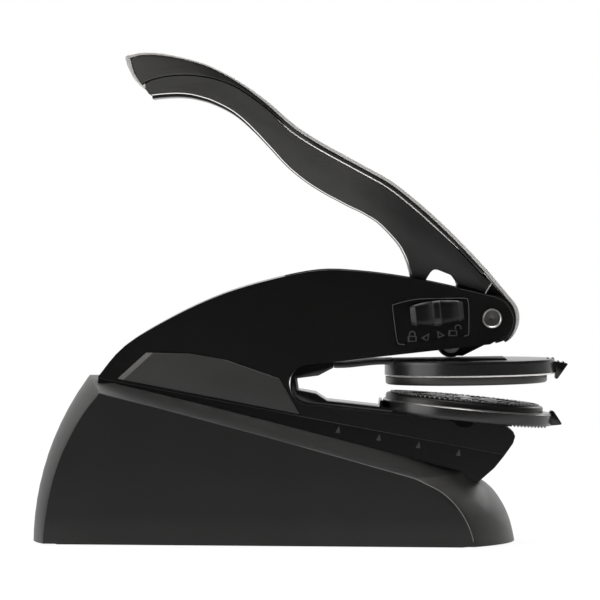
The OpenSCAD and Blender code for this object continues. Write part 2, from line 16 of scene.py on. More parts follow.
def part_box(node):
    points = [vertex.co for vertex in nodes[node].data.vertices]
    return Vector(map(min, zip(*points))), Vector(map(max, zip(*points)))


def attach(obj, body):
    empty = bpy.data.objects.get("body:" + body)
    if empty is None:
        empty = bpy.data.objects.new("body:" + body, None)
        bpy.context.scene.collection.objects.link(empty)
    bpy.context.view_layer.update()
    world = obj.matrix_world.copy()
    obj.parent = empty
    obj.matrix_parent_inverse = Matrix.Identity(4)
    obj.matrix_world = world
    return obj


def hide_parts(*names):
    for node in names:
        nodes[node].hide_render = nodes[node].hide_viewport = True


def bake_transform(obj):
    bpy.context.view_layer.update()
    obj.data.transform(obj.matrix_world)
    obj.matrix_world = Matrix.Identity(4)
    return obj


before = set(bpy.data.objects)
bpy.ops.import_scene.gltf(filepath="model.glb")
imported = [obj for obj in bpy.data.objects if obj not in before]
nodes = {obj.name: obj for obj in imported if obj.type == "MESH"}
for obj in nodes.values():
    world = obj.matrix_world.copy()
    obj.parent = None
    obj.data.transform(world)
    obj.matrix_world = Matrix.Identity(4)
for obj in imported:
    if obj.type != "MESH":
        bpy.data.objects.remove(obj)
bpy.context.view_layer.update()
MM = 0.001
SIDES = ((-1, "near"), (1, "far"))

# %% [markdown]
# ## The camera
#
# The photograph is a plain side view from far away: the lines across the object hardly
# converge, and only a sliver of the tops shows. A long lens at 1.6 m gives that. The
# camera looks along +Y and slightly down, at the middle of the picture.

# %% Camera
eye = Vector((0.0, -1.6, 0.113))
target = Vector((0.0, 0.0, 0.0797))
lens = bpy.data.cameras.new("side_view")
lens.lens = 291
lens.sensor_width = 36
lens.clip_end = 20
camera = bpy.data.objects.new("side_view", lens)
camera.location = eye
camera.rotation_euler = (target - eye).to_track_quat("-Z", "Y").to_euler()
bpy.context.scene.collection.objects.link(camera)
bpy.context.scene.camera = camera
print("camera is", round((target - eye).length, 3), "m away")

# %% [markdown]
# ## Finishes
#
# Nearly every piece is dark, so the finishes differ less in colour than in how they take
# the light: moulded grey with a fine spark texture, satin black, brushed metal, gloss.
# One recipe makes them all. A slow noise shifts the colour a little, as real mouldings
# do, and a fine noise moves the roughness and raises a small bump. All of it reads Object
# coordinates, which are metres here, so a grain of 0.3 mm is a noise scale near 3000.

# %% Nodes
def node(tree, kind, operation=None, **values):
    """Add a node. Each value sets the input of its name, with _ for a space."""
    made = tree.nodes.new("ShaderNode" + kind)
    if operation:
        made.operation = operation
    for name, value in values.items():
        made.inputs[name.replace("_", " ")].default_value = value
    return made


def combined(tree, kind, operation, first, second):
    """A node with two inputs, each a link from a socket or a fixed value."""
    made = node(tree, kind, operation)
    for socket, source in zip(made.inputs, (first, second)):
        if isinstance(source, bpy.types.NodeSocket):
            tree.links.new(source, socket)
        else:
            socket.default_value = source
    return made


def ramp(tree, source, start, end, first, last):
    """A value that goes from first to last while its source goes from start to end."""
    made = node(tree, "MapRange", From_Min=start, From_Max=end, To_Min=first, To_Max=last)
    tree.links.new(source, made.inputs["Value"])
    return made.outputs["Result"]


def along(tree, vector, axis):
    return combined(tree, "VectorMath", "DOT_PRODUCT", vector, axis).outputs["Value"]


# %% The recipe for a finish
def grey(level, warm=0.03):
    """An 8-bit grey level as a linear colour, a touch warm."""
    part = (level / 255 / 1.055 + 0.0521) ** 2.4 if level > 10 else level / 255 / 12.92
    return (part * (1 + warm), part, part * (1 - warm))


def finish(name, levels, rough, grain_mm=0.35, bump=0.12, metal=0.0, spec=0.5, coat=0.0, stretch=None):
    mat = bpy.data.materials.new(name)
    mat.use_nodes = True
    tree = mat.node_tree
    link = tree.links.new
    shader = tree.nodes["Principled BSDF"]
    shader.inputs["Metallic"].default_value = metal
    shader.inputs["Specular IOR Level"].default_value = spec
    shader.inputs["Coat Weight"].default_value = coat
    shader.inputs["Coat Roughness"].default_value = 0.08
    place = node(tree, "TexCoord").outputs["Object"]
    slow = node(tree, "TexNoise", Scale=45, Detail=4)
    link(place, slow.inputs["Vector"])
    shade = node(tree, "ValToRGB")
    for stop, spot, level in zip(shade.color_ramp.elements, (0.3, 0.7), levels):
        stop.position = spot
        stop.color = (*grey(level), 1)
    if stretch:
        mapping = node(tree, "Mapping", Scale=stretch)
        link(place, mapping.inputs["Vector"])
        place = mapping.outputs["Vector"]
    fine = node(tree, "TexNoise", Scale=1 / (grain_mm * MM), Detail=3)
    link(place, fine.inputs["Vector"])
    relief = node(tree, "Bump", Strength=bump, Distance=0.1 * MM)
    link(slow.outputs["Fac"], shade.inputs["Fac"])
    link(shade.outputs["Color"], shader.inputs["Base Color"])
    link(ramp(tree, fine.outputs["Fac"], 0, 1, *rough), shader.inputs["Roughness"])
    link(fine.outputs["Fac"], relief.inputs["Height"])
    link(relief.outputs["Normal"], shader.inputs["Normal"])
    return mat


def scaled_colour(mat, coordinate, axis, start, end, first, last):
    """Scale a finish's colour by a share that changes with a coordinate along an axis."""
    tree = mat.node_tree
    colour = tree.nodes["Principled BSDF"].inputs["Base Color"]
    place = node(tree, "TexCoord").outputs[coordinate]
    scaled = node(tree, "VectorMath", "SCALE")
    tree.links.new(colour.links[0].from_socket, scaled.inputs[0])
    tree.links.new(ramp(tree, along(tree, place, axis), start, end, first, last), scaled.inputs["Scale"])
    tree.links.new(scaled.outputs["Vector"], colour)


def shaded_along(mat, axis, start_mm, end_mm, first, last):
    """Paint light or shade into a finish, from one place on an axis to another."""
    scaled_colour(mat, "Object", axis, start_mm * MM, end_mm * MM, first, last)


def toned_facing(mat, axis, start, end, share):
    """Scale a finish on faces turned along an axis: paler for painted light, darker for painted shade."""
    scaled_colour(mat, "Normal", axis, start, end, 1.0, share)


# %% The finishes
base_grey = finish("base_grey", (20, 23), (0.4, 0.5), grain_mm=0.3, bump=0.12, spec=0.15, coat=0.08)
plate_black = finish("plate_black", (26, 32), (0.5, 0.65))
sole_rubber = finish("sole_rubber", (18, 24), (0.75, 0.9), grain_mm=0.8, bump=0.08, spec=0.2)
body_black = finish("body_black", (13, 16), (0.2, 0.27), grain_mm=0.25, bump=0.05, spec=0.2)
label_grey = finish("label_grey", (41, 47), (0.4, 0.5), grain_mm=0.3, bump=0.1, spec=0.3)
pin_steel = finish("pin_steel", (150, 172), (0.22, 0.34), metal=1.0, grain_mm=0.2, bump=0.06)
spring_steel = finish("spring_steel", (150, 170), (0.25, 0.35), metal=1.0)
screw_steel = finish("screw_steel", (140, 160), (0.28, 0.4), metal=1.0)
core_black = finish("core_black", (20, 24), (0.4, 0.5), spec=0.25)
band_silver = finish("band_silver", (182, 196), (0.3, 0.42), metal=0.3, grain_mm=0.25,
                     bump=0.02, stretch=(0.08, 1.0, 0.08))
trim_black = finish("trim_black", (16, 20), (0.2, 0.3), spec=0.4)
cap_black = finish("cap_black", (48, 58), (0.16, 0.26), spec=0.35, coat=0.3)
grip_grey = finish("grip_grey", (50, 57), (0.45, 0.6), grain_mm=0.4, bump=0.2, spec=0.3)
button_black = finish("button_black", (11, 14), (0.3, 0.4), spec=0.2)
clip_black = finish("clip_black", (14, 18), (0.16, 0.26), spec=0.3)
leaf_steel = finish("leaf_steel", (40, 52), (0.25, 0.4), metal=0.6, spec=0.5)
holder_black = finish("holder_black", (20, 25), (0.2, 0.3), spec=0.38)
die_grey = finish("die_grey", (48, 58), (0.3, 0.45), metal=0.7, grain_mm=0.3, bump=0.15)

# %% Painted light and shade within a finish
# Painted shade: the grips darken towards the hub.
shaded_along(grip_grey, (1, 0, 0), 16, 36, 0.92, 0.3)
# Painted light and shade: the gloss cap is paler at the tip and darker along the arm.
shaded_along(cap_black, (1, 0, 0), -54, -20, 1.5, 0.5)
# Painted light: the base is paler over its lowest 10 mm, where the floor throws light back.
shaded_along(base_grey, (0, 0, 1), 1, 10, 2.4, 1.0)
# Painted light: the tops of the base and its toe are paler. Painted shade keeps the shoulder beside the body
# less so.
toned_facing(base_grey, (0, 0, 1), 0.1, 0.7, 4.0)
toned_facing(base_grey, (1, 0, 0), 0.72, 1.0, 2.0)
toned_facing(base_grey, (0.8, 0, 0.6), 0.88, 1.0, 3.4)
toned_facing(base_grey, (0.1, -0.5, 0.86), 0.94, 1.0, 0.35)
# Painted shade: the band is darker on its upward faces.
toned_facing(band_silver, (0, 0, 1), 0.1, 0.7, 0.4)
print("finishes:", len(bpy.data.materials))

# %% [markdown]
# ## Three ways to start a mesh
#
# The pieces of this object are lines and bands that follow a curve, flat shapes with
# thickness, or round. A line or band starts from a grid, whose rows are laid along the
# curve. A flat shape starts from a filled circle: its rim points go to the outline in side
# view, and the face is extruded across. A round piece is a profile that spin turns about
# its axis. Outlines are in millimetres, as they were drawn. What every piece needs comes
# first, then the grid, and the others come where they are needed.

# %% Work on a piece
@contextmanager
def editing():
    """Edit the active piece, with all of it selected."""
    bpy.ops.object.mode_set(mode="EDIT")
    bpy.ops.mesh.select_all(action="SELECT")
    yield
    bpy.ops.object.mode_set(mode="OBJECT")


def smooth(degrees):
    """Shade the selected piece smooth, apart from edges sharper than this."""
    bpy.ops.object.shade_smooth_by_angle(angle=math.radians(degrees))


def settle(piece, name):
    """Merge doubles, turn the faces outwards, and name the piece."""
    with editing():
        bpy.ops.mesh.remove_doubles(threshold=0.002 * MM)
        bpy.ops.mesh.normals_make_consistent(inside=False)
    piece.name = name
    piece.data.name = name
    return piece


def worked(piece, kind, **values):
    """Add a modifier, set it, and apply it at once."""
    bpy.ops.object.select_all(action="DESELECT")
    piece.select_set(True)
    bpy.context.view_layer.objects.active = piece
    step = piece.modifiers.new(kind.lower(), kind)
    for key, value in values.items():
        setattr(step, key, value)
    bpy.ops.object.modifier_apply(modifier=step.name)
    return piece


def bevelled(piece, width, angle):
    return worked(piece, "BEVEL", width=width * MM, segments=2, limit_method="ANGLE",
                  angle_limit=math.radians(angle))


def rounded(piece, width, angle=30):
    bevelled(piece, width, angle)
    smooth(40)
    return piece


def done(piece, body, mat, slot, *stands_for):
    """Give a piece its finish, its body and the solids that it stands for."""
    piece.data.materials.clear()
    piece.data.materials.append(mat)
    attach(piece, body)
    if stands_for:
        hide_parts(*stands_for)
    print(piece.name, "rides on", body, "with", len(piece.data.polygons), "faces")
    return piece


# %% A skin through rows of points
def skin(name, rows, ring=False, capped=True):
    """A grid laid through rows of points; ring closes each row on itself, capped fills the open ends."""
    rows = [list(r) + [r[0]] if ring else list(r) for r in rows]
    bpy.ops.object.select_all(action="DESELECT")
    bpy.ops.mesh.primitive_grid_add(x_subdivisions=len(rows[0]) - 1, y_subdivisions=len(rows) - 1, size=0.1)
    piece = bpy.context.object
    spots = [p for r in rows for p in r]
    for vertex, p in zip(piece.data.vertices, spots):
        vertex.co = Vector(p) * MM
    with editing():
        bpy.ops.mesh.remove_doubles(threshold=0.001 * MM)
        if capped:
            bpy.ops.mesh.select_all(action="DESELECT")
            bpy.ops.mesh.select_non_manifold()
            bpy.ops.mesh.edge_face_add()
    return settle(piece, name)


# %% [markdown]
# ## The body and its plate
#
# The body is two black half shells, and their solids are right as they are. What the solids
# lack is the grey plate's bevelled rear end, which catches the light. The plate could be cut
# with a Boolean, but a skin through three outlines is cleaner: the front face with its rear
# end moved in, the same outline at the body's surface, and the back in its pocket.

# %% Grey plate
plate_back = [(-59.7, 54.3), (-50.3, 62.8), (-36.1, 62.5), (-24.9, 60.6), (-6.8, 54.3), (-0.2, 42.7)]
plate_front = [(-57.7, 53.9), (-48.0, 62.75)] + plate_back[2:]
body_half = 15
plate_layers = ((-body_half - 0.6, plate_front), (-body_half - 0.08, plate_back),
                (-body_half + 0.98, plate_back))
plate_rows = [[(x, y, z) for x, z in outline] for y, outline in plate_layers]
grey_plate = skin("grey_plate", plate_rows, ring=True)
rounded(grey_plate, 0.14, 12)
done(grey_plate, "base", label_grey, "label_grey", "label_plate")
# Painted highlight: a paler finish on the plate's bevelled rear end and on its upward faces towards the
# front.
plate_painted_highlight = finish("plate_painted_highlight", (78, 86), (0.35, 0.45), bump=0.05, spec=0.3)


def second_finish(piece, mat, chosen):
    """Add a finish, for the faces that are chosen by their centre and their normal."""
    piece.data.materials.append(mat)
    for face in piece.data.polygons:
        if chosen(face.center, face.normal):
            face.material_index = len(piece.data.materials) - 1


# The faces that take the painted highlight.
def on_plate_highlight(centre, normal):
    rear = normal.x < -0.08 and normal.y < -0.2
    return rear or normal.z > 0.3 and centre.x > -30 * MM


second_finish(grey_plate, plate_painted_highlight, on_plate_highlight)

# %% [markdown]
# ## Edge lines of the base
#
# The flat sides of the base end in a sharp edge that shines as a hairline, most of all
# round the toe. A bevel on the solid would be as wide everywhere, so the hairline is a thin
# strip of its own, let into the side wall. The wall leans, so each point takes its depth
# from how far along the base it is.


# %% Curves in side view
def through(points, steps):
    """A smooth curve through the points, with a few steps between two of them."""
    last = len(points) - 1
    found = []
    for i in range(last):
        a, b = points[max(i - 1, 0)], points[i]
        c, d = points[i + 1], points[min(i + 2, last)]
        for k in range(steps):
            t = k / steps
            found.append(tuple(
                0.5 * (2 * b[j] + (c[j] - a[j]) * t + (2 * a[j] - 5 * b[j] + 4 * c[j] - d[j]) * t * t
                       + (3 * b[j] - a[j] - 3 * c[j] + d[j]) * t ** 3) for j in range(2)))
    return found + [tuple(points[last])]


def beside(path, away):
    """The path moved sideways, to its left where away is positive; away is one distance, or one a point."""
    last = len(path) - 1
    found = []
    for i, p in enumerate(path):
        a, b = path[max(i - 1, 0)], path[min(i + 1, last)]
        run = math.hypot(b[0] - a[0], b[1] - a[1])
        d = away[i] if isinstance(away, (list, tuple)) else away
        found.append((p[0] - d * (b[1] - a[1]) / run, p[1] + d * (b[0] - a[0]) / run))
    return found


# %% Light edge round the flat sides of the base
side_edge = [(-83.7, 4), (-83.2, 9), (-81.3, 19), (-78.1, 29), (-73.2, 39), (-69.4, 44.8), (-65.9, 49.1)]
top_edge = [(-63.4, 49.3), (-54, 47), (-45.3, 44.9), (-35, 42.2), (-24, 39.3), (-12.3, 36.25), (0, 32.9),
            (12, 29.6), (24, 26.3), (33, 23.8), (37.4, 22.5), (40.5, 21.0), (44.4, 19.1), (47.4, 17.0),
            (50.4, 13.95), (52.6, 10.9), (54.3, 7.7), (55.4, 4.9), (56.0, 2.4)]
wall_at_origin, wall_slope = 29.46, 0.1128
edge_proud, edge_depth = 0.04, 0.5


def edge_line(name, points, half, side):
    """A thin strip on the side wall, which stands further out towards the toe."""
    path = through(points, 4)
    rows = []
    for a, b in zip(beside(path, half), beside(path, -half)):
        wall_a, wall_b = [wall_at_origin + wall_slope * p[0] for p in (a, b)]
        rows.append([(a[0], side * (wall_a + edge_proud), a[1]), (b[0], side * (wall_b + edge_proud), b[1]),
                     (b[0], side * (wall_b - edge_depth), b[1]), (a[0], side * (wall_a - edge_depth), a[1])])
    return done(skin(name, rows, ring=True), "base", edge_light, "base_grey")


edge_light = finish("edge_light", (88, 98), (0.4, 0.5), bump=0.05, spec=0.3)
shaded_along(edge_light, (1, 0, 0), -5, 40, 0.45, 1.3)
for side, word in SIDES:
    edge_line("side_edge_" + word, side_edge, 0.09, side)
    edge_line("top_edge_" + word, top_edge, 0.1, side)

# %% [markdown]
# ## Lines of the body
#
# A line runs along the step at the foot of the body, a painted highlight that is darker
# towards both ends, and the edge of each cheek shines along its top and round the nose. Both
# are a small upright section carried along a path. The foot below its line is darker, which
# is painted shade within the finish, because the step is so small.

# %% Line along the foot, and a darker foot below it
zone_slope = math.tan(math.radians(10.7))
foot_path = [(x, 42 - x * zone_slope) for x in (-65.7, -20, 25, 66.2)]
foot_grey = finish("foot_grey", (44, 50), (0.4, 0.5), bump=0.05, spec=0.3)
# Painted highlight along the step, darker towards both ends.
shaded_along(foot_grey, (1, 0, 0), -10, 0, 0.25, 1.0)
shaded_along(foot_grey, (1, 0, 0), 22, 48, 1.0, 0.35)
# Painted shade on the body below the line.
shaded_along(body_black, (zone_slope, 0, 1), 41.9, 42.1, 0.4, 1.0)
print("the foot of the body is darker below a line that falls", round(zone_slope, 3), "a metre")


def carried(name, rails):
    """A closed skin between rails, each a path in side view with its own y."""
    rows = [[(path[i][0], y, path[i][1]) for path, y in rails] for i in range(len(rails[0][0]))]
    return skin(name, rows, ring=True)


def swept(name, path, section, depth=None):
    """A closed section (inward distance, y) carried along a path; depth scales the inward distance."""
    depth = depth or [1.0] * len(path)
    return carried(name, [(beside(path, [-d * s for s in depth]), y) for d, y in section])


def bar_section(half, y_out, y_in):
    """A thin upright section, for a line that is let into a side."""
    return [(-half, y_out), (half, y_out), (half, y_in), (-half, y_in)]


def body_line(name, path, half, mat):
    """A thin line let into both sides of the body."""
    for side, word in SIDES:
        section = bar_section(half, side * (body_half + 0.03), side * (body_half - 0.6))
        line = swept(name + word, path, section)
        done(line, "base", mat, "label_grey")


body_line("foot_line_", foot_path, 0.1, foot_grey)

# %% Light edge of the cheeks
cheek_path = through([(52.4, 83.6), (57, 82.6), (60.6, 81.7), (64.2, 80.85), (67.2, 79.1), (69.1, 76.2),
                      (69.8, 73.6), (69.2, 70.2), (67.6, 67.4)], 4)
line_grey = finish("line_grey", (44, 50), (0.4, 0.5), bump=0.05, spec=0.3)
body_line("cheek_line_", cheek_path, 0.11, line_grey)

# %% [markdown]
# ## The lever
#
# A cast arm is dressed on every side. A satin metal band runs over its whole top and
# round its tip, a gloss cap fills the tip, grip panels cover both sides, and a strip
# closes the underside. All of them follow two curves, the top and the underside, so these
# are drawn once, and the pieces are sections carried along them.


# %% The lever's curves
def arc(centre, radius, start, end, steps):
    turns = [math.radians(start + (end - start) * i / steps) for i in range(steps + 1)]
    return [(centre[0] + radius * math.cos(a), centre[1] + radius * math.sin(a)) for a in turns]


pivot = (62.8, 74.0)
lever_half = 11
lever_top = through([
    (-57.6, 159.2), (-53, 160.9), (-45, 160.7), (-33.5, 158.1), (-25.6, 154.8), (-17.7, 150.2),
    (-9.7, 144.3), (-1.8, 137.4), (6.1, 132.2), (14, 127.8), (21.9, 123.5), (29.9, 119), (37.8, 112.9),
    (45.7, 105.9), (53.6, 98.2), (61.5, 89.8),
], 4) + arc(pivot, 9.2, 46, -60, 16)
lever_under = through([
    (-48.3, 145.8), (-45.7, 146.1), (-43.1, 146.3), (-40.4, 146.4), (-37.8, 146.3), (-35.2, 146),
    (-32.6, 145.4), (-30, 144.7), (-27.3, 143.6), (-24.7, 142.4), (-22.1, 140.9), (-19.5, 139),
    (-16.9, 136.7), (-14.2, 134.1), (-11.6, 131.4), (-9, 128.6), (-6.4, 125.7), (-3.8, 123.1), (-1.1, 120.8),
    (1.5, 118.8), (4.1, 117), (6.7, 115.4), (9.3, 113.9), (12, 112.5), (14.6, 111.1), (17.2, 109.8),
    (19.8, 108.6), (22.4, 107.1), (25.1, 105.4), (27.7, 103), (30.3, 100.2), (32.9, 96.9), (35.2, 91.8),
    (36.5, 86.6),
], 2)
arm_end = 61  # points of the top before it turns round the hub
thin_line = beside(lever_top, -2.4)
cap_edge = through([
    (-51.9, 150.4), (-50.6, 151.2), (-48.9, 152), (-45.7, 152.9), (-42.4, 153.4), (-39.1, 153.6),
    (-35.9, 153.6), (-32.6, 153.3), (-29.3, 152.7), (-26, 151.8), (-22.8, 150.6), (-20.3, 149.4),
    (-17.8, 147.8), (-15, 145.9), (-12, 143.6), (-9, 141.1), (-6, 138.4), thin_line[28],
], 2) + thin_line[29:arm_end]
print("top", len(lever_top), "underside", len(lever_under), "points")


# %% Metal band over the top and round the tip
def between(x, stops):
    """A value between stops (x, value), straight from one to the next."""
    for (a, first), (b, last) in zip(stops, stops[1:]):
        if x < b:
            return first + (last - first) * max(0.0, (x - a) / (b - a))
    return stops[-1][1]


tip_end = [(-51.2, 149.2), (-52.2, 149.9), (-53.5, 151.2), (-55.2, 153.5), (-56.5, 156.4), (-57.2, 158.6),
           (-57.3, 159.5), (-56.6, 160.1), (-55.4, 160.4)]
band_path = tip_end + [p for p in lever_top if p[0] > -54.2]
band_stops = [(-54, 0.6), (-45, 0.48), (-38, 0.36), (-22, 0.36), (-6, 0.68), (50, 0.7), (66, 0.82)]
tip_depth = [0.3, 0.5, 0.6, 0.75, 1.0, 1.1, 1.0, 0.85, 0.7]
tail_depth = [0.82 * share for share in (0.95, 0.88, 0.8, 0.7, 0.6, 0.48, 0.36, 0.24, 0.12)]
band_depth = tip_depth + [between(x, band_stops) for x, z in band_path[9:-9]] + tail_depth
band_inner = 1.48
band_section = [
    (band_inner, -11), (0.42, -11), (0.16, -10.9), (0.03, -10.66), (0, -10.3), (0, -6), (0, 0), (0, 6),
    (0, 10.3), (0.03, 10.66), (0.16, 10.9), (0.42, 11), (band_inner, 11), (band_inner, 6), (band_inner, 0),
    (band_inner, -6),
]
band = swept("metal_band", band_path, band_section, band_depth)
smooth(40)
done(band, "lever", band_silver, "band_silver", "lever_band")

# %% [markdown]
# ### Cap and grips
#
# The cap lies under the band and narrows to a thin line along the arm, and the grips lie
# under the cap. They are flat across, so each is a plate. Between two plates light from
# behind would show as a slit: a tongue under the cap and a ring round the hub close it.


# %% A flat piece
def from_circle(spots, filled=True):
    """A circle whose points are moved to the spots."""
    bpy.ops.object.select_all(action="DESELECT")
    fill = "NGON" if filled else "NOTHING"
    bpy.ops.mesh.primitive_circle_add(vertices=len(spots), radius=0.01, fill_type=fill)
    piece = bpy.context.object
    for vertex, spot in zip(piece.data.vertices, spots):
        vertex.co = [c * MM for c in spot]
    return piece


def extrude(x, y, z):
    bpy.ops.mesh.extrude_region_move(TRANSFORM_OT_translate={"value": (x * MM, y * MM, z * MM)})


def plate(name, outline, y_near, y_far):
    """A flat piece: a filled circle, its rim moved to the outline, extruded across."""
    piece = from_circle([(x, y_near, z) for x, z in outline])
    with editing():
        extrude(0, y_far - y_near, 0)
    return settle(piece, name)


# %% Gloss cap in the tip
under_band = beside(lever_top, [-band_inner * between(x, band_stops) - 0.05 for x, z in lever_top])
cap_over = [p for p in under_band[:arm_end] if p[0] > -53.6]
cap_line = beside(cap_edge, 0.12)
cap_tip = [(-52.1, 151.0), (-53.2, 152.6), (-54.4, 155.1), (-55.1, 157.7), (-55.2, 159.2)]
cap = plate("tip_cap", cap_over + cap_line[::-1] + cap_tip, -lever_half + 0.15, lever_half - 0.15)
rounded(cap, 0.1)
done(cap, "lever", cap_black, "cap_black", "lever_cap")
tongue = swept("cap_tongue", cap_edge[2:], [(-0.35, -7.9), (1.1, -7.9), (1.1, 7.9), (-0.35, 7.9)])
done(tongue, "lever", core_black, "cap_black")
hub_outline = arc(pivot, 8.35, 40, -80, 22) + arc(pivot, 5, -80, 40, 12)
hub_ring = plate("hub_ring", hub_outline, -lever_half + 0.2, lever_half - 0.2)
done(hub_ring, "lever", core_black, "cap_black")

# %% Grip panels
notch_top = [(51.6, 85.2), (51.2, 86.6), (50.3, 87.6), (49.0, 88.25), (46.8, 89.15), (45.1, 89.8),
             (44.2, 89.92), (43.4, 89.6), (42.7, 88.9), (42.0, 87.8), (41.2, 86.4)]
strip_stops = [(-49, 1.1), (-38, 1.1), (-24, 0.75), (-12, 0.35), (0, 0.22), (37, 0.22)]
strip_thick = [between(x, strip_stops) for x, z in lever_under]
grip_low = beside(lever_under, [thick + 0.42 for thick in strip_thick])
grip_tip = [(-49.4, 147.3), (-50.4, 148.7), (-50.6, 149.8), (-50.2, 150.9)]
grip_over = [p for p in beside(cap_edge, -0.3) if p[0] > -48.8]
grip_outline = (grip_tip + grip_over + [(62.6, 85.6), (60.5, 82.4)] + notch_top + [(38.2, 87.4)]
                + grip_low[::-1])
for side, word in SIDES:
    panel = plate("grip_panel_" + word, grip_outline, *sorted([side * (lever_half - 0.02), side * 8.02]))
    rounded(panel, 0.02)
    done(panel, "lever", grip_grey, "grip_grey", "grip_" + word)

# %% [markdown]
# ### Bright lines of the lever
#
# Fine bright lines give the lever its look: a chamfer along the top of each grip, which
# tapers away at both ends, a seam where the grip ends at the hub, a corner at the tip, and
# the edge of the strip along the underside. The chamfer is a slanted face, so that it takes
# the light from above. Its highlight, and those of the seam and the corner, are painted in a
# near-white finish that is paler than the band; the strip's edge is polished metal, paler too.

# %% Bright chamfer along the top of each grip
# Painted highlight: a near-white finish for the chamfer, the seam and the corner.
painted_highlight_white = finish("painted_highlight_white", (198, 210), (0.3, 0.4), metal=0.2, grain_mm=0.3, bump=0.03)
polished = finish("polished", (225, 240), (0.14, 0.22), metal=1.0, grain_mm=0.3, bump=0.03)
line_out, line_in = lever_half + 0.06, 8.3
line_path = [p for p in lever_top if -7 < p[0] < 54 and p[1] > 89]
line_width = [0.08 + 0.34 * max(0.0, min(1.0, (x + 6.5) / 5, (54 - x) / 8)) for x, z in line_path]
line_upper = beside(line_path, -2.26)
line_lower = beside(line_path, [-2.26 - w for w in line_width])
for side, word in SIDES:
    rows = []
    for low, high, w in zip(line_lower, line_upper, line_width):
        rows.append([(low[0], side * line_out, low[1]), (high[0], side * (line_out - 0.8 * w), high[1]),
                     (high[0], side * line_in, high[1]), (low[0], side * line_in, low[1])])
    chamfer = skin("chamfer_line_" + word, rows, ring=True)
    smooth(20)
    done(chamfer, "lever", painted_highlight_white, "band_silver")

# %% Bright seam where the grip ends at the hub, and bright corner between cap and grip
for side, word in SIDES:
    seam = swept("hub_seam_" + word, [(60.7, 82.0), (61.7, 83.7), (62.7, 85.4)],
                 bar_section(0.17, side * line_out, side * line_in))
    done(seam, "lever", painted_highlight_white, "band_silver")
corner_outline = [(-51.5, 150.2), (-50.7, 150.8), (-50.65, 149.9), (-50.9, 149.1), (-51.2, 149.3)]
corner = plate("tip_corner", corner_outline, -lever_half - 0.03, lever_half + 0.03)
done(corner, "lever", painted_highlight_white, "band_silver")


# %% Strip along the underside, and its bright edge
def under_rail(share, rise):
    """A path that lies a share of the strip's thickness above the underside, and a rise above that."""
    return beside(lever_under, [share * thick + rise for thick in strip_thick])


strip_section = [(0, -10), (0, 0), (0, 10), (0.15, 10.4), (0.97, 10.5), (0.97, 0), (0.97, -10.5),
                 (0.15, -10.4)]
strip = carried("underside_strip", [(under_rail(share, 0), y) for share, y in strip_section])
smooth(40)
done(strip, "lever", trim_black, "trim_black", "lever_trim")
edge_section = [(0.02, -10.85), (0.02, 0), (0.02, 10.85), (0.3, 11.05), (0.42, 0), (0.3, -11.05)]
under_line = carried("underside_line", [(under_rail(1, rise), y) for rise, y in edge_section])
smooth(25)
done(under_line, "lever", polished, "band_silver")

# %% [markdown]
# ## The lock
#
# The lock button is a thumb slide of about 17 by 8 mm: barrel shaped from the front, with
# light slopes at both ends, two shallow scoops and a rib between them for the thumb. It
# could be a bevelled cube, but the scoops would be missing, so it is a skin: its length is
# cut into slices, and each slice is a closed section whose front follows the scoop.


# %% Lock button, on its own axes
def leaning(x, z, degrees, axis="Y"):
    """A place in the middle plane, turned about an axis."""
    return Matrix.Translation((x * MM, 0, z * MM)) @ Matrix.Rotation(math.radians(degrees), 4, axis)


def put(piece, place):
    """Move a piece from its own axes to its place, and keep it there."""
    piece.matrix_world = place
    bpy.ops.object.transform_apply(location=True, rotation=True, scale=True)
    return piece


on_cheek = leaning(44.8, 75.7, -5.5)
button_half, button_tall = 8.7, 4.1
button_back = 14.3


def button_front(u):
    """How far the button stands out of the cheek at u, from -1 at its left end to 1."""
    slope = max(0.0, abs(u) - 0.78) / 0.22
    scoop = math.sin(math.pi * min(1.0, max(0.0, (abs(u) - 0.14) / 0.66)))
    rib = 0.6 * min(1.0, max(0.0, (0.165 - abs(u)) / 0.03))
    return 1.9 - 1.2 * slope ** 1.4 - 0.85 * scoop + rib


right_u = [0.1, 0.135, 0.15, 0.165, 0.2, 0.3, 0.4, 0.5, 0.6, 0.7, 0.77, 0.8, 0.86, 0.92, 0.97, 1]
button_u = [-u for u in reversed(right_u)] + [0] + right_u
button_v = [-1, -0.96, -0.88, -0.7, -0.4, 0, 0.4, 0.7, 0.88, 0.96, 1]
button_rows = []
for u in button_u:
    half = button_tall - 0.95 * u * u - 0.35 * max(0.0, abs(u) - 0.9) / 0.1
    section = []
    for v in button_v:
        edge = max(0.0, abs(v) - 0.7) / 0.3
        section.append((u * button_half, -body_half - button_front(u) + 0.7 * edge ** 2, v * half))
    section += [(u * button_half, -button_back, half), (u * button_half, -button_back, -half)]
    button_rows.append(section)
button = put(skin("thumb_button", button_rows, ring=True), on_cheek)
smooth(32)
done(button, "lock", button_black, "button_black", "lock_button")
# Painted light: a paler finish on the slopes at the ends and round the rib.
button_painted_light = finish("button_painted_light", (38, 46), (0.35, 0.45), bump=0.05, spec=0.25)


def takes_painted_light(centre, normal):
    """Faces that take painted light: the slopes at the ends, and the edges and the foot of the rib."""
    spot = on_cheek.inverted() @ centre / MM
    u, v = abs(spot.x) / button_half, spot.z / button_tall
    rib = 0.1 < u < 0.165 or u < 0.1 and v < -0.45
    return normal.y < -0.3 and (u > 0.79 or rib)


second_finish(button, button_painted_light, takes_painted_light)

# %% [markdown]
# ### Lines and signs round the button
#
# A thin line frames the recess that the button slides in, and four small signs under it
# show the way: a closed padlock, two arrows and an open padlock. They are printed on the
# real one, so each is a thin plate that stands out by less than a tenth of a millimetre.

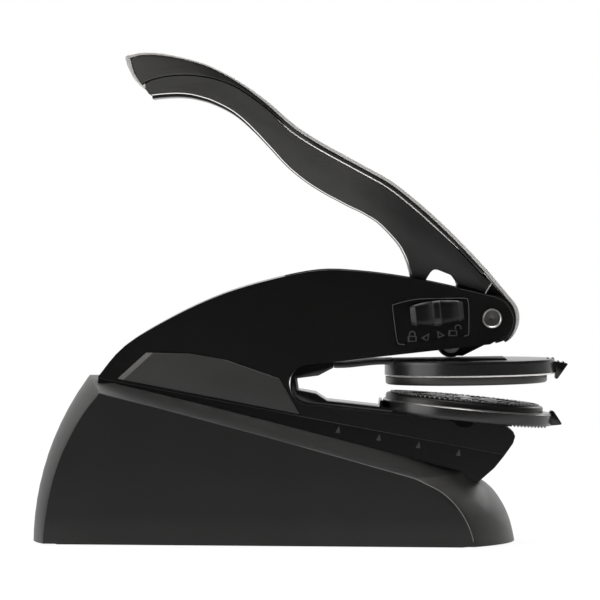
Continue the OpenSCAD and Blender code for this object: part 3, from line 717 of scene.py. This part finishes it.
# %% Frame line
print_grey = finish("print_grey", (62, 72), (0.45, 0.6), bump=0.05, spec=0.2)
frame_path = [(34.2, 65.5), (32.5, 65.6), (31.8, 66.5), (31.2, 70), (30.3, 77.7), (31.0, 78.6), (37.6, 80.2),
              (45.6, 80.5), (53.6, 80.6), (54.9, 79.8), (55.2, 77), (55.2, 69.4), (54.7, 68.5), (53.6, 68.2)]
frame_section = bar_section(0.14, -body_half - 0.04, -body_half + 0.9)
frame_line = swept("lock_frame_line", through(frame_path, 4), frame_section)
done(frame_line, "base", print_grey, "label_grey")

# %% Signs
window_face = -body_half + 0.75
foot_face = -body_half + 0.34


def printed(name, outline, y=window_face, thick=0.2):
    return done(plate(name, outline, y, y + thick), "base", print_grey, "label_grey")


def hollow(name, outline, share):
    """A printed outline: a grey shape with a smaller black one on it."""
    printed(name, outline)
    mid = [sum(p[i] for p in outline) / len(outline) for i in (0, 1)]
    inner = [(mid[0] + (x - mid[0]) * share, mid[1] + (z - mid[1]) * share) for x, z in outline]
    printed(name + "_inside", inner, y=window_face - 0.04, thick=0.1).data.materials[0] = body_black


hollow("arrow_left", [(39.6, 67.6), (42.3, 69.2), (42.0, 66.2)], 0.5)
hollow("arrow_right", [(47.4, 68.4), (44.8, 70.0), (45.1, 67.4)], 0.5)


def padlock(name, at, open_by):
    x, z = at
    box = [(x - 1.45, z - 1.0), (x + 1.35, z - 1.0), (x + 1.45, z - 0.8), (x + 1.45, z + 0.7),
           (x + 1.2, z + 0.95), (x - 1.2, z + 0.95), (x - 1.45, z + 0.7)]
    hollow(name + "_box", box, 0.68)
    bow = arc((x + open_by, z + 1.45 + 0.15 * open_by), 0.95, -25, 205, 14)
    shackle = swept(name + "_shackle", bow, bar_section(0.18, window_face, window_face + 0.2))
    done(shackle, "base", print_grey, "label_grey")


padlock("padlock_closed", (36.7, 67.3), 0.0)
padlock("padlock_open", (50.0, 69.15), 1.7)
for i, (x, z) in enumerate([(12.4, 37.6), (25.7, 35.1), (38.7, 32.6), (51.8, 30.1)]):
    mark = [(x - 0.85, z - 1.0), (x + 0.75, z - 1.15), (x + 0.35, z + 1.15)]
    printed("foot_mark_%d" % (i + 1), mark, y=foot_face)

# %% [markdown]
# ## The pivot pin
#
# The pin is riveted over at both ends: a bright ring round a shallow dish. A profile of half
# the pin, from the middle of the dish to the shank, is mirrored and turned about the axis.


# %% A turned piece
def turned(name, profile, place, steps=64):
    """A profile (radius, height) turned about its axis with spin, then put in its place."""
    piece = from_circle([(r, 0, h) for r, h in profile], filled=False)
    with editing():
        bpy.ops.mesh.spin(steps=steps, angle=math.tau, center=(0, 0, 0), axis=(0, 0, 1))
        bpy.ops.mesh.select_all(action="SELECT")
        bpy.ops.mesh.remove_doubles(threshold=0.002 * MM)
        bpy.ops.mesh.dissolve_degenerate(threshold=0.001 * MM)
    settle(put(piece, place), name)
    smooth(32)
    return piece


# %% Pivot pin
half_pin = [(0, 15.3), (0.3, 15.32), (0.5, 15.42), (1.6, 15.5), (2.6, 15.6), (2.8, 15.82), (2.95, 15.88),
            (3.1, 15.84), (3.2, 15.7), (3.22, 15.45), (3.22, 15.02), (2.5, 15.0)]


def across_pin(name, half, at, steps):
    """A pin across the part, turned from the profile of one half and its mirror image."""
    return turned(name, half + [(r, -h) for r, h in reversed(half)], leaning(*at, 90, "X"), steps)


pin = across_pin("pivot_pin_riveted", half_pin, pivot, 64)
done(pin, "base", pin_steel, "pin_steel", "pivot_pin")
pin_dish = finish("pin_dish", (62, 78), (0.35, 0.5), metal=0.8, grain_mm=0.25, bump=0.2)


def in_dish(centre, normal):
    away = math.hypot(centre.x - pivot[0] * MM, centre.z - pivot[1] * MM)
    return away < 2.65 * MM and abs(centre.y) > 15.2 * MM


second_finish(pin, pin_dish, in_dish)

# %% [markdown]
# ## The die clip
#
# The clip lies in the throat: a bent root, a flat lower half on the lower arm, and an upper
# half on a leaf that bends when the roller pushes. Each half ends in a round holder with a
# die let into it. Holders and dies are turned. Their axes lean with the two halves, so two
# frames are kept, one on the lower arm and one where the leaf bends.

# %% The two leaning frames
on_arm = leaning(0, 45.895, 6.4)
on_flex = leaning(19.5, 58.592, -0.8)
low_x, up_x = 55.15, 36.5
low_axis = on_arm @ leaning(low_x, 1.1, -1)
up_axis = on_flex @ leaning(up_x, 1.0, 180, "X")
low_tall, up_tall = 4.15, 5.05
seat_shift = Vector((-1.2 * MM, 0, 0))
clip_half = 13
print("axes of the holders:", low_axis.translation, up_axis.translation)


def seen_on(axis, point):
    """The radius and the height of a point on an axis, in millimetres."""
    spot = axis.inverted() @ point / MM
    return math.hypot(spot.x, spot.y), spot.z


# %% Holders
def joined(name, pieces):
    bpy.ops.object.select_all(action="DESELECT")
    for piece in pieces:
        piece.select_set(True)
    bpy.context.view_layer.objects.active = pieces[0]
    bpy.ops.object.join()
    pieces[0].name = name
    return pieces[0]


def holder(name, axis, tall, flare):
    """A turned cup. The die's seat isn't in the middle of the rim, so its points are moved after the spin."""
    profile = [(0, 0), (14, 0), (27.7, 0), (27.95, 0.06), (28.06, 0.25), (28.1 - flare, 1.0),
               (28.1 + flare, tall - 0.55), (27.92 + flare, tall - 0.3), (27.72, tall - 0.06), (27.55, tall),
               (26.3, tall), (26.12, tall - 0.14), (26.08, tall - 0.5), (26.08, tall - 2.6), (0, tall - 2.6)]
    piece = turned(name, profile, axis, 96)
    back = axis.inverted()
    for vertex in piece.data.vertices:
        radius, height = seen_on(axis, vertex.co)
        if 1 < radius < 26.6 and height > 0.3:
            vertex.co = axis @ (back @ vertex.co + seat_shift)
    return piece


def rim_painted_glint(piece, axis, tall, mat):
    """The rounded edge of the rim gets a painted glint, a paler metal finish."""
    def on_glint_edge(centre, normal):
        radius, height = seen_on(axis, centre)
        return height > tall - 0.5 and radius > 26.7

    second_finish(piece, mat, on_glint_edge)


def below_holder(centre, normal):
    return abs(centre.y) > 15.4 * MM and seen_on(low_axis, centre)[1] < -0.05


# Painted glint: paler metal finishes on the rounded edges of the rims. The darker one is also the bright
# metal of the root's thin web.
rim_glint_and_web = finish("rim_glint_and_web", (108, 124), (0.2, 0.3), metal=0.8, grain_mm=0.25, bump=0.05)
rim_painted_white = finish("rim_painted_white", (190, 205), (0.25, 0.35), metal=0.5, grain_mm=0.25, bump=0.05)
lug_painted_shade = finish("lug_painted_shade", (5, 7), (0.6, 0.8), spec=0.05)
lug_outline = [(50.4, 2.2), (57.4, 2.2), (57.2, 0.2), (56.3, -1.0), (55.0, -1.42), (52.8, -1.42),
               (51.4, -1.0), (50.6, 0.2)]
low_holder = holder("lower_rim", low_axis, low_tall, -0.08)
lugs = [rounded(put(plate("guide_lug", lug_outline, y, y + 2.5), on_arm), 0.3) for y in (-18, 15.5)]
low_holder = joined("lower_rim", [low_holder] + lugs)
done(low_holder, "clip", holder_black, "holder_black", "lower_holder")
rim_painted_glint(low_holder, low_axis, low_tall, rim_glint_and_web)
# Painted shade: the lugs' faces below the holder take a near-black, matte finish.
second_finish(low_holder, lug_painted_shade, below_holder)
up_holder = holder("upper_rim", up_axis, up_tall, 0.03)
done(up_holder, "upper_half", holder_black, "holder_black", "upper_holder")
rim_painted_glint(up_holder, up_axis, up_tall, rim_painted_white)

# %% [markdown]
# ### Dies
#
# The lower die carries the raised figure and the upper one its counterpart. The figure
# here is a plain one: a rope border, a ring of blocks and a rosette. One bead, one block
# and one petal are modelled and turned about the axis with spin, which copies them.

# %% Die blanks
low_die_axis = low_axis @ Matrix.Translation(seat_shift)
up_die_axis = up_axis @ Matrix.Translation(seat_shift)
low_die_profile = [(0, 1.57), (25.8, 1.57), (25.95, 1.75), (26.05, 5.3), (25.85, 5.8), (25.5, 6.1),
                   (25.0, 6.22), (24.8, 6.25), (12, 6.25), (0, 6.25)]
low_die = turned("lower_die_blank", low_die_profile, low_die_axis, 96)
up_die_profile = [(0, 2.47), (25.8, 2.47), (25.95, 2.65), (25.95, 5.1), (26.5, 5.12), (26.65, 5.25),
                  (26.65, 7.0), (26.45, 7.45), (26.1, 7.7), (25.0, 7.74), (23.9, 7.74), (23.8, 7.4), (0, 7.4)]
up_die = turned("upper_die_blank", up_die_profile, up_die_axis, 96)
print("die blanks:", len(low_die.data.polygons), "and", len(up_die.data.polygons), "faces")


# %% A block copied round an axis
def ring_of(name, outline, z_low, z_high, count, place, bevel):
    """A block extruded along an axis, bevelled, and copied round the axis with spin."""
    piece = from_circle([(x, y, z_low) for x, y in outline])
    with editing():
        extrude(0, 0, z_high - z_low)
        bpy.ops.mesh.select_all(action="SELECT")
        bpy.ops.mesh.normals_make_consistent(inside=False)
    bevelled(piece, bevel, 35)
    if count > 1:
        with editing():
            bpy.ops.mesh.spin(steps=count, angle=math.tau, center=(0, 0, 0), axis=(0, 0, 1), dupli=True)
    return settle(put(piece, place), name)


# %% Raised figure
bead_turns = [math.tau * i / 10 for i in range(10)]
bead = [(24.1 + 0.55 * math.cos(a), 0.75 * math.sin(a) + 0.35 * math.cos(a)) for a in bead_turns]
block_wide = [(18.4, -0.75), (21.9, -0.9), (22.1, 0.0), (21.9, 0.9), (18.4, 0.75)]
block_slim = [(18.4, 1.7), (21.9, 2.0), (21.7, 2.75), (18.3, 2.4)]
petal = [(4.5, 0), (7, -1.6), (11, -2.2), (14.4, -1.3), (15.6, 0), (14.4, 1.3), (11, 2.2), (7, 1.6)]
core_disc = [(3.4 * math.cos(a), 3.4 * math.sin(a)) for a in [math.tau * i / 24 for i in range(24)]]
figure_foot, counter_foot = 6.2, 7.35
figure = [
    ring_of("figure_beads", bead, figure_foot, 6.68, 84, low_die_axis, 0.14),
    ring_of("figure_blocks", block_wide, figure_foot, 6.7, 27, low_die_axis, 0.15),
    ring_of("figure_bars", block_slim, figure_foot, 6.62, 27, low_die_axis, 0.12),
    ring_of("figure_petals", petal, figure_foot, 6.6, 8, low_die_axis, 0.2),
    ring_of("figure_core", core_disc, figure_foot, 6.6, 1, low_die_axis, 0.2),
]
low_die = joined("lower_die_engraved", [low_die] + figure)
smooth(32)
# Painted shade: the lower die takes a darker copy of the die finish. Painted highlight: the top faces of the
# figure take a paler metal finish, for glints.
lower_die_painted_shade = finish("lower_die_painted_shade", (34, 42), (0.3, 0.45), metal=0.7, grain_mm=0.3, bump=0.15)
figure_painted_glint = finish("figure_painted_glint", (96, 116), (0.14, 0.24), metal=0.7, grain_mm=0.3, bump=0.1)
done(low_die, "clip", lower_die_painted_shade, "die_grey", "lower_die")
second_finish(low_die, figure_painted_glint, lambda centre, normal: seen_on(low_die_axis, centre)[1] > 6.3)
counter = [
    ring_of("counter_blocks", block_wide, counter_foot, 7.7, 27, up_die_axis, 0.12),
    ring_of("counter_petals", petal, counter_foot, 7.66, 8, up_die_axis, 0.15),
]
up_die = joined("upper_die_counter", [up_die] + counter)
smooth(32)
done(up_die, "upper_half", die_grey, "die_grey", "upper_die")

# %% [markdown]
# ### Leaf, root, pointers and finger ridges
#
# The pointers are small wedges on the rims, and fine ridges beside them give the finger a
# hold.

# %% Leaf
leaf_rear, leaf_thick, leaf_cut = -8.4, 1.6, 28.3
leaf_rows = []
for i in range(33):
    row = []
    for k in range(17):
        y = -clip_half + 2 * clip_half * k / 16
        front = up_x - math.sqrt(leaf_cut ** 2 - y * y)
        x = leaf_rear + (front - leaf_rear) * i / 32
        lift = min(1.0, max(0.0, (x + 6) / 13))
        row.append((x, y, 0.8 + 0.9 * lift * lift * (3 - 2 * lift)))
    leaf_rows.append(row)
leaf = skin("bending_leaf", leaf_rows, capped=False)
with editing():
    extrude(0, 0, -leaf_thick)
settle(put(leaf, on_flex), "bending_leaf")
rounded(leaf, 0.25, 50)
leaf.data.materials.clear()
leaf.data.materials.append(leaf_steel)
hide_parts("upper_leaf")
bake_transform(leaf)
print("leaf:", len(leaf.data.polygons), "faces")

# %% Cover that the roller runs on
cover_outline = [(8.6, 0.9), (48.3, 0.9), (48.3, 1.3), (47.9, 1.58), (8.6, 1.58)]
cover = put(plate("leaf_cover", cover_outline, -clip_half, clip_half), on_flex)
rounded(cover, 0.2)
done(cover, "upper_half", core_black, "clip_black")

# %% Root and lower leaf
root_outline = arc((3, 52.2), 6.25, 96.4, 263.6, 20)
root_outline += [(69.3, 38.47), (69.3, 40.08), (26.95, 44.83), (27.19, 46.97), (26.2, 47.08), (25.96, 44.95)]
root_outline += [(8.9, 46.86), (7.8, 47.6), (5.25, 49.2), (-0.4, 50.2), (-0.95, 54.3), (6.0, 55.2),
                 (11, 57.79), (11, 59.39)]
root = plate("clip_root", root_outline, -clip_half, clip_half)
rounded(root, 0.2)
done(root, "clip", clip_black, "clip_black", "clip_frame")
web = swept("root_web", [(-1.3, 54.2), (-0.75, 50.35)], bar_section(0.28, -13.04, 13.04))
done(web, "clip", rim_glint_and_web, "clip_black")


# %% Pointers and finger ridges
def wedge(name, outline, place):
    return rounded(put(plate(name, outline, -3, 3), place), 0.18)


def ridges(name, first, last, count, foot, rise, half_width, place):
    """Fine bars across a rim; foot gives the height they stand on, half_width how far each one reaches."""
    bars = []
    for i in range(count):
        x = first + (last - first) * i / (count - 1)
        z = foot(x)
        outline = [(x - 0.38, z), (x - 0.16, z + rise), (x + 0.16, z + rise), (x + 0.38, z)]
        bars.append(plate("%s_%d" % (name, i), outline, -half_width(x), half_width(x)))
    return settle(put(joined(name, bars), place), name)


def low_foot(x):
    return 1.12 + (x - low_x) * 0.0175


def low_reach(x):
    return math.sqrt(27.0 ** 2 - (x - low_x) ** 2)


def up_foot(x):
    return 0.95 if x < 64.2 else 0.1 - 0.17 * (x - 64.2)


low_tab = wedge("lower_pointer_tab", [
    (82.0, 1.7), (82.1, 6.2), (82.5, 6.6), (83.2, 6.65), (83.6, 6.4), (86.3, 3.1), (86.55, 2.65),
    (86.2, 2.35), (83.0, 1.7),
], on_arm)
done(low_tab, "clip", clip_black, "clip_black", "lower_pointer")
low_pad = ridges("lower_finger_ridges", 59.6, 80.8, 19, low_foot, -0.6, low_reach, on_arm)
done(low_pad, "clip", clip_black, "clip_black")
up_tab = wedge("upper_pointer_tab", [
    (62.9, 0.35), (68.5, -0.6), (68.75, -1.0), (65.4, -5.6), (64.9, -5.8), (64.45, -5.5), (64.6, -2.5),
    (62.9, -1.0),
], on_flex)
done(up_tab, "upper_half", clip_black, "clip_black", "upper_pointer")
up_pad = ridges("upper_finger_ridges", 62.2, 67.3, 4, up_foot, 0.42, lambda x: 2.8, on_flex)
done(up_pad, "upper_half", clip_black, "clip_black")

# %% [markdown]
# ## Screws, fork and spring
#
# Screws hold the half shells together from the far side, and close the base from below. Each
# is turned, and a cross is cut into its head with a Boolean. The roller's pin is turned too,
# and two cheeks hold it. The return spring is a round wire: rings of twelve points are laid
# along its path, closer than in the solid.

# %% Screws
quarter = [(0.45, -1.6), (0.45, -0.45), (1.6, -0.45)]
cross = []
for i in range(4):
    cross += quarter
    quarter = [(-y, x) for x, y in quarter]


def cross_screw(name, place, head, shank, node_name):
    tip = head + shank
    profile = [(0, 0), (2.3, 0), (2.62, 0.1), (2.78, 0.38), (2.8, head), (1.48, head), (1.48, tip - 0.4),
               (1.2, tip), (0, tip)]
    piece = turned(name, profile, place, 40)
    cutter = ring_of("cross", cross, -0.5, 0.85, 1, place, 0.02)
    worked(piece, "BOOLEAN", object=cutter, operation="DIFFERENCE", solver="EXACT")
    bpy.data.objects.remove(cutter)
    smooth(32)
    return done(piece, "base", screw_steel, "screw_steel", node_name)


for i in range(1, 5):
    low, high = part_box("shell_screw_%d" % i)
    sink = Matrix.Translation(((low[0] + high[0]) / 2, high[1], (low[2] + high[2]) / 2))
    turn = Matrix.Rotation(math.radians(90), 4, "X") @ Matrix.Rotation(0.5 * i, 4, "Z")
    cross_screw("shell_cross_screw_%d" % i, sink @ turn, 1.8, 20.5, "shell_screw_%d" % i)
    low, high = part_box("base_screw_%d" % i)
    sink = Matrix.Translation(((low[0] + high[0]) / 2, (low[1] + high[1]) / 2, low[2]))
    turn = Matrix.Rotation(0.4 * i, 4, "Z")
    cross_screw("base_cross_screw_%d" % i, sink @ turn, 1.4, 8.3, "base_screw_%d" % i)

# %% Roller pin, with a wide head on each side of the fork
half_roller_pin = [(0, 8.35), (1.4, 8.4), (2.6, 8.5), (2.95, 8.42), (3.05, 8.25), (3.05, 8.03), (1.5, 8.02)]
roller_axle = across_pin("roller_axle", half_roller_pin, (49.6, 65.5), 40)
# A steel pin's head is bright, and this near-white finish also paints in the light that the shade under the
# body takes away.
axle_painted_light = finish("axle_painted_light", (212, 224), (0.35, 0.5), metal=0.1, grain_mm=0.25, bump=0.1)
done(roller_axle, "lever", axle_painted_light, "pin_steel", "roller_pin")

# %% Cheeks of the fork
cheek_outline = [(45.8, 64.6), (46.0, 63.2), (46.9, 62.1), (48.2, 61.6), (53.4, 61.5), (61.0, 65.3),
                 (61.5, 68.0), (56, 70.5), (50, 69.4), (46.4, 67.0)]
for side, word in SIDES:
    cheek = plate("fork_cheek_" + word, cheek_outline, *sorted([side * 4.4, side * 7.95]))
    rounded(cheek, 0.25)
    done(cheek, "lever", core_black, "core_black")

# %% Return spring
curls = 2 + 162 / 360
curl_r, wire_r = 5, 0.35
first_y, last_y = 8.65, 11.45
wire = [(53, first_y, 84.2), (56, first_y, 82.2), (60, first_y, 79.6)]
for i in range(60):
    a = math.radians(72 - 360 * curls * i / 59)
    y = first_y + (last_y - first_y) * i / 59
    wire.append((pivot[0] + curl_r * math.cos(a), y, pivot[1] + curl_r * math.sin(a)))
wire += [(56, last_y, 68.05), (49, last_y, 67.4), (42, last_y, 66.68)]
wire_turns = [math.tau * k / 12 for k in range(12)]
wire_rows = []
for i, spot in enumerate(wire):
    run = (Vector(wire[min(i + 1, len(wire) - 1)]) - Vector(wire[max(i - 1, 0)])).normalized()
    across_a = run.cross(Vector((0.13, 1, 0.07))).normalized()
    across_b = run.cross(across_a)
    wire_rows.append([tuple(Vector(spot) + wire_r * (math.cos(t) * across_a + math.sin(t) * across_b))
                      for t in wire_turns])
spring = skin("coiled_spring", wire_rows, ring=True)
smooth(40)
spring.data.materials.clear()
spring.data.materials.append(spring_steel)
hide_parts("return_spring")
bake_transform(spring)
print("spring:", len(spring.data.polygons), "faces")

# %% [markdown]
# ## Solids that stay
#
# A solid whose shape is already right is kept, and only gets its finish and rounded
# edges. Its mesh is loose triangles, so a Weld modifier joins them first, and a Bevel
# with an angle limit then rounds the edges. The solid itself isn't touched.

# %% Finish the solids that stay
stays = {
    base_grey: ["base_shell"],
    body_black: ["body_near", "body_far"],
    pin_steel: ["thrust_washer", "press_roller", "lock_bar", "lock_keeper"],
    core_black: ["lever_core"],
    plate_black: ["base_plate"],
    sole_rubber: ["sole"],
    screw_steel: ["body_screw_%d" % i for i in range(1, 5)],
}
edge_round = {"base_shell": 0.5, "body_near": 0.5, "body_far": 0.5, "lever_core": 0.4}
for mat, names in stays.items():
    for name in names:
        solid = nodes[name]
        solid.data.materials.clear()
        solid.data.materials.append(mat)
        weld = solid.modifiers.new("weld", "WELD")
        weld.merge_threshold = 0.002 * MM
        bevel = solid.modifiers.new("edges", "BEVEL")
        bevel.width = edge_round.get(name, 0.25) * MM
        bevel.segments = 3
        bevel.limit_method = "ANGLE"
        bevel.angle_limit = math.radians(32)
        bevel.harden_normals = True
print("solids kept:", sum(not nodes[n].hide_render for n in nodes))

# %% [markdown]
# ## Floor, surround and light
#
# The photograph was taken in a white surround with soft light from both sides and above,
# and little from the front: the flat side is dark, while the rear wall, the tops and the
# toe are lighter. The floor is white to the camera and keeps a soft shadow.

# %% Two more nodes
def maths(tree, operation, first, second):
    return combined(tree, "Math", operation, first, second).outputs[0]


def mixed(tree, share, first, second):
    """A shader that goes from the first to the second with the share."""
    made = node(tree, "MixShader")
    for socket, source in zip(made.inputs, (share, first, second)):
        tree.links.new(source, socket)
    return made.outputs["Shader"]


# %% Floor
bpy.ops.object.select_all(action="DESELECT")
bpy.ops.mesh.primitive_plane_add(size=8, location=(0, 0, 0))
floor = bpy.context.object
floor.name = "floor"
white = bpy.data.materials.new("floor_white")
white.use_nodes = True
tree = white.node_tree
shader = tree.nodes["Principled BSDF"]
shader.inputs["Roughness"].default_value = 0.9
shader.inputs["Specular IOR Level"].default_value = 0.0
place = node(tree, "TexCoord").outputs["Object"]
inwards = along(tree, place, (0, 1, 0))
# Painted reflection: further in front the floor's own colour falls to dark.
tree.links.new(ramp(tree, inwards, -0.55, -0.12, 0.06, 0.86), shader.inputs["Base Color"])
reach = combined(tree, "VectorMath", "DISTANCE", place, (0, 0, 0)).outputs["Value"]
fade = ramp(tree, reach, 0.12, 0.9, 0.94, 1.0)
ray = node(tree, "LightPath").outputs
# Painted reflection: glossy rays see the floor near the object glowing white.
in_gloss = maths(tree, "MULTIPLY", ray["Is Glossy Ray"], ramp(tree, inwards, -0.18, -0.06, 0, 1))
mirrored = maths(tree, "MAXIMUM", ray["Is Camera Ray"], in_gloss)
clear = maths(tree, "MAXIMUM", mirrored, ray["Is Transmission Ray"])
glow = node(tree, "Emission", Strength=1.0).outputs["Emission"]
surface = mixed(tree, maths(tree, "MULTIPLY", clear, fade), shader.outputs["BSDF"], glow)
tree.links.new(surface, tree.nodes["Material Output"].inputs["Surface"])
floor.data.materials.append(white)
print("floor:", floor.dimensions.x, "m wide")

# %% Surround
world = bpy.data.worlds.new("white_surround")
bpy.context.scene.world = world
world.use_nodes = True
tree = world.node_tree
tree.nodes.clear()
ray = node(tree, "LightPath").outputs
place = node(tree, "TexCoord").outputs["Generated"]
inwards = along(tree, place, (0, 1, 0))
dark_right = ramp(tree, along(tree, place, (0.8, -0.6, 0)), 0.0, 0.4, 1.0, 0.12)
in_mirror = maths(tree, "MULTIPLY", ramp(tree, inwards, -0.8, -0.1, 0.02, 1.0), dark_right)
soft, seen, plain = [node(tree, "Background", Color=(1, 1, 1, 1), Strength=1.0) for i in range(3)]
tree.links.new(ramp(tree, inwards, -1.0, -0.1, 0.03, 0.34), soft.inputs["Strength"])
tree.links.new(in_mirror, seen.inputs["Strength"])
shine = mixed(tree, ray["Is Glossy Ray"], soft.outputs["Background"], seen.outputs["Background"])
straight = maths(tree, "MAXIMUM", ray["Is Camera Ray"], ray["Is Transmission Ray"])
surface = mixed(tree, straight, shine, plain.outputs["Background"])
tree.links.new(surface, node(tree, "OutputWorld").inputs["Surface"])
print("surround:", len(tree.nodes), "nodes")


# %% Lamps
def soft_box(name, place, towards, size, watts):
    lamp = bpy.data.lights.new(name, "AREA")
    lamp.shape = "RECTANGLE"
    lamp.size, lamp.size_y = size
    lamp.energy = watts
    obj = bpy.data.objects.new(name, lamp)
    obj.location = place
    obj.rotation_euler = (Vector(towards) - Vector(place)).to_track_quat("-Z", "Y").to_euler()
    bpy.context.scene.collection.objects.link(obj)
    return obj


soft_box("light_rear", (-0.45, 0.3, 1.1), (0, 0, 0.06), (0.7, 0.8), 13)
soft_box("light_right", (0.6, 0.75, 0.75), (0, 0, 0.05), (0.7, 0.8), 5)
soft_box("light_top", (0.1, 0.3, 1.05), (0, 0, 0.05), (1.0, 0.8), 5)
soft_box("light_front", (0.12, -0.12, 1.15), (0, 0, 0.05), (1.0, 0.7), 17)
soft_box("light_strip", (-0.93, -0.4, 0.25), (0, 0, 0.08), (0.8, 0.6), 5)
bpy.context.scene.view_settings.view_transform = "Standard"
print("lamps:", len(bpy.data.lights))
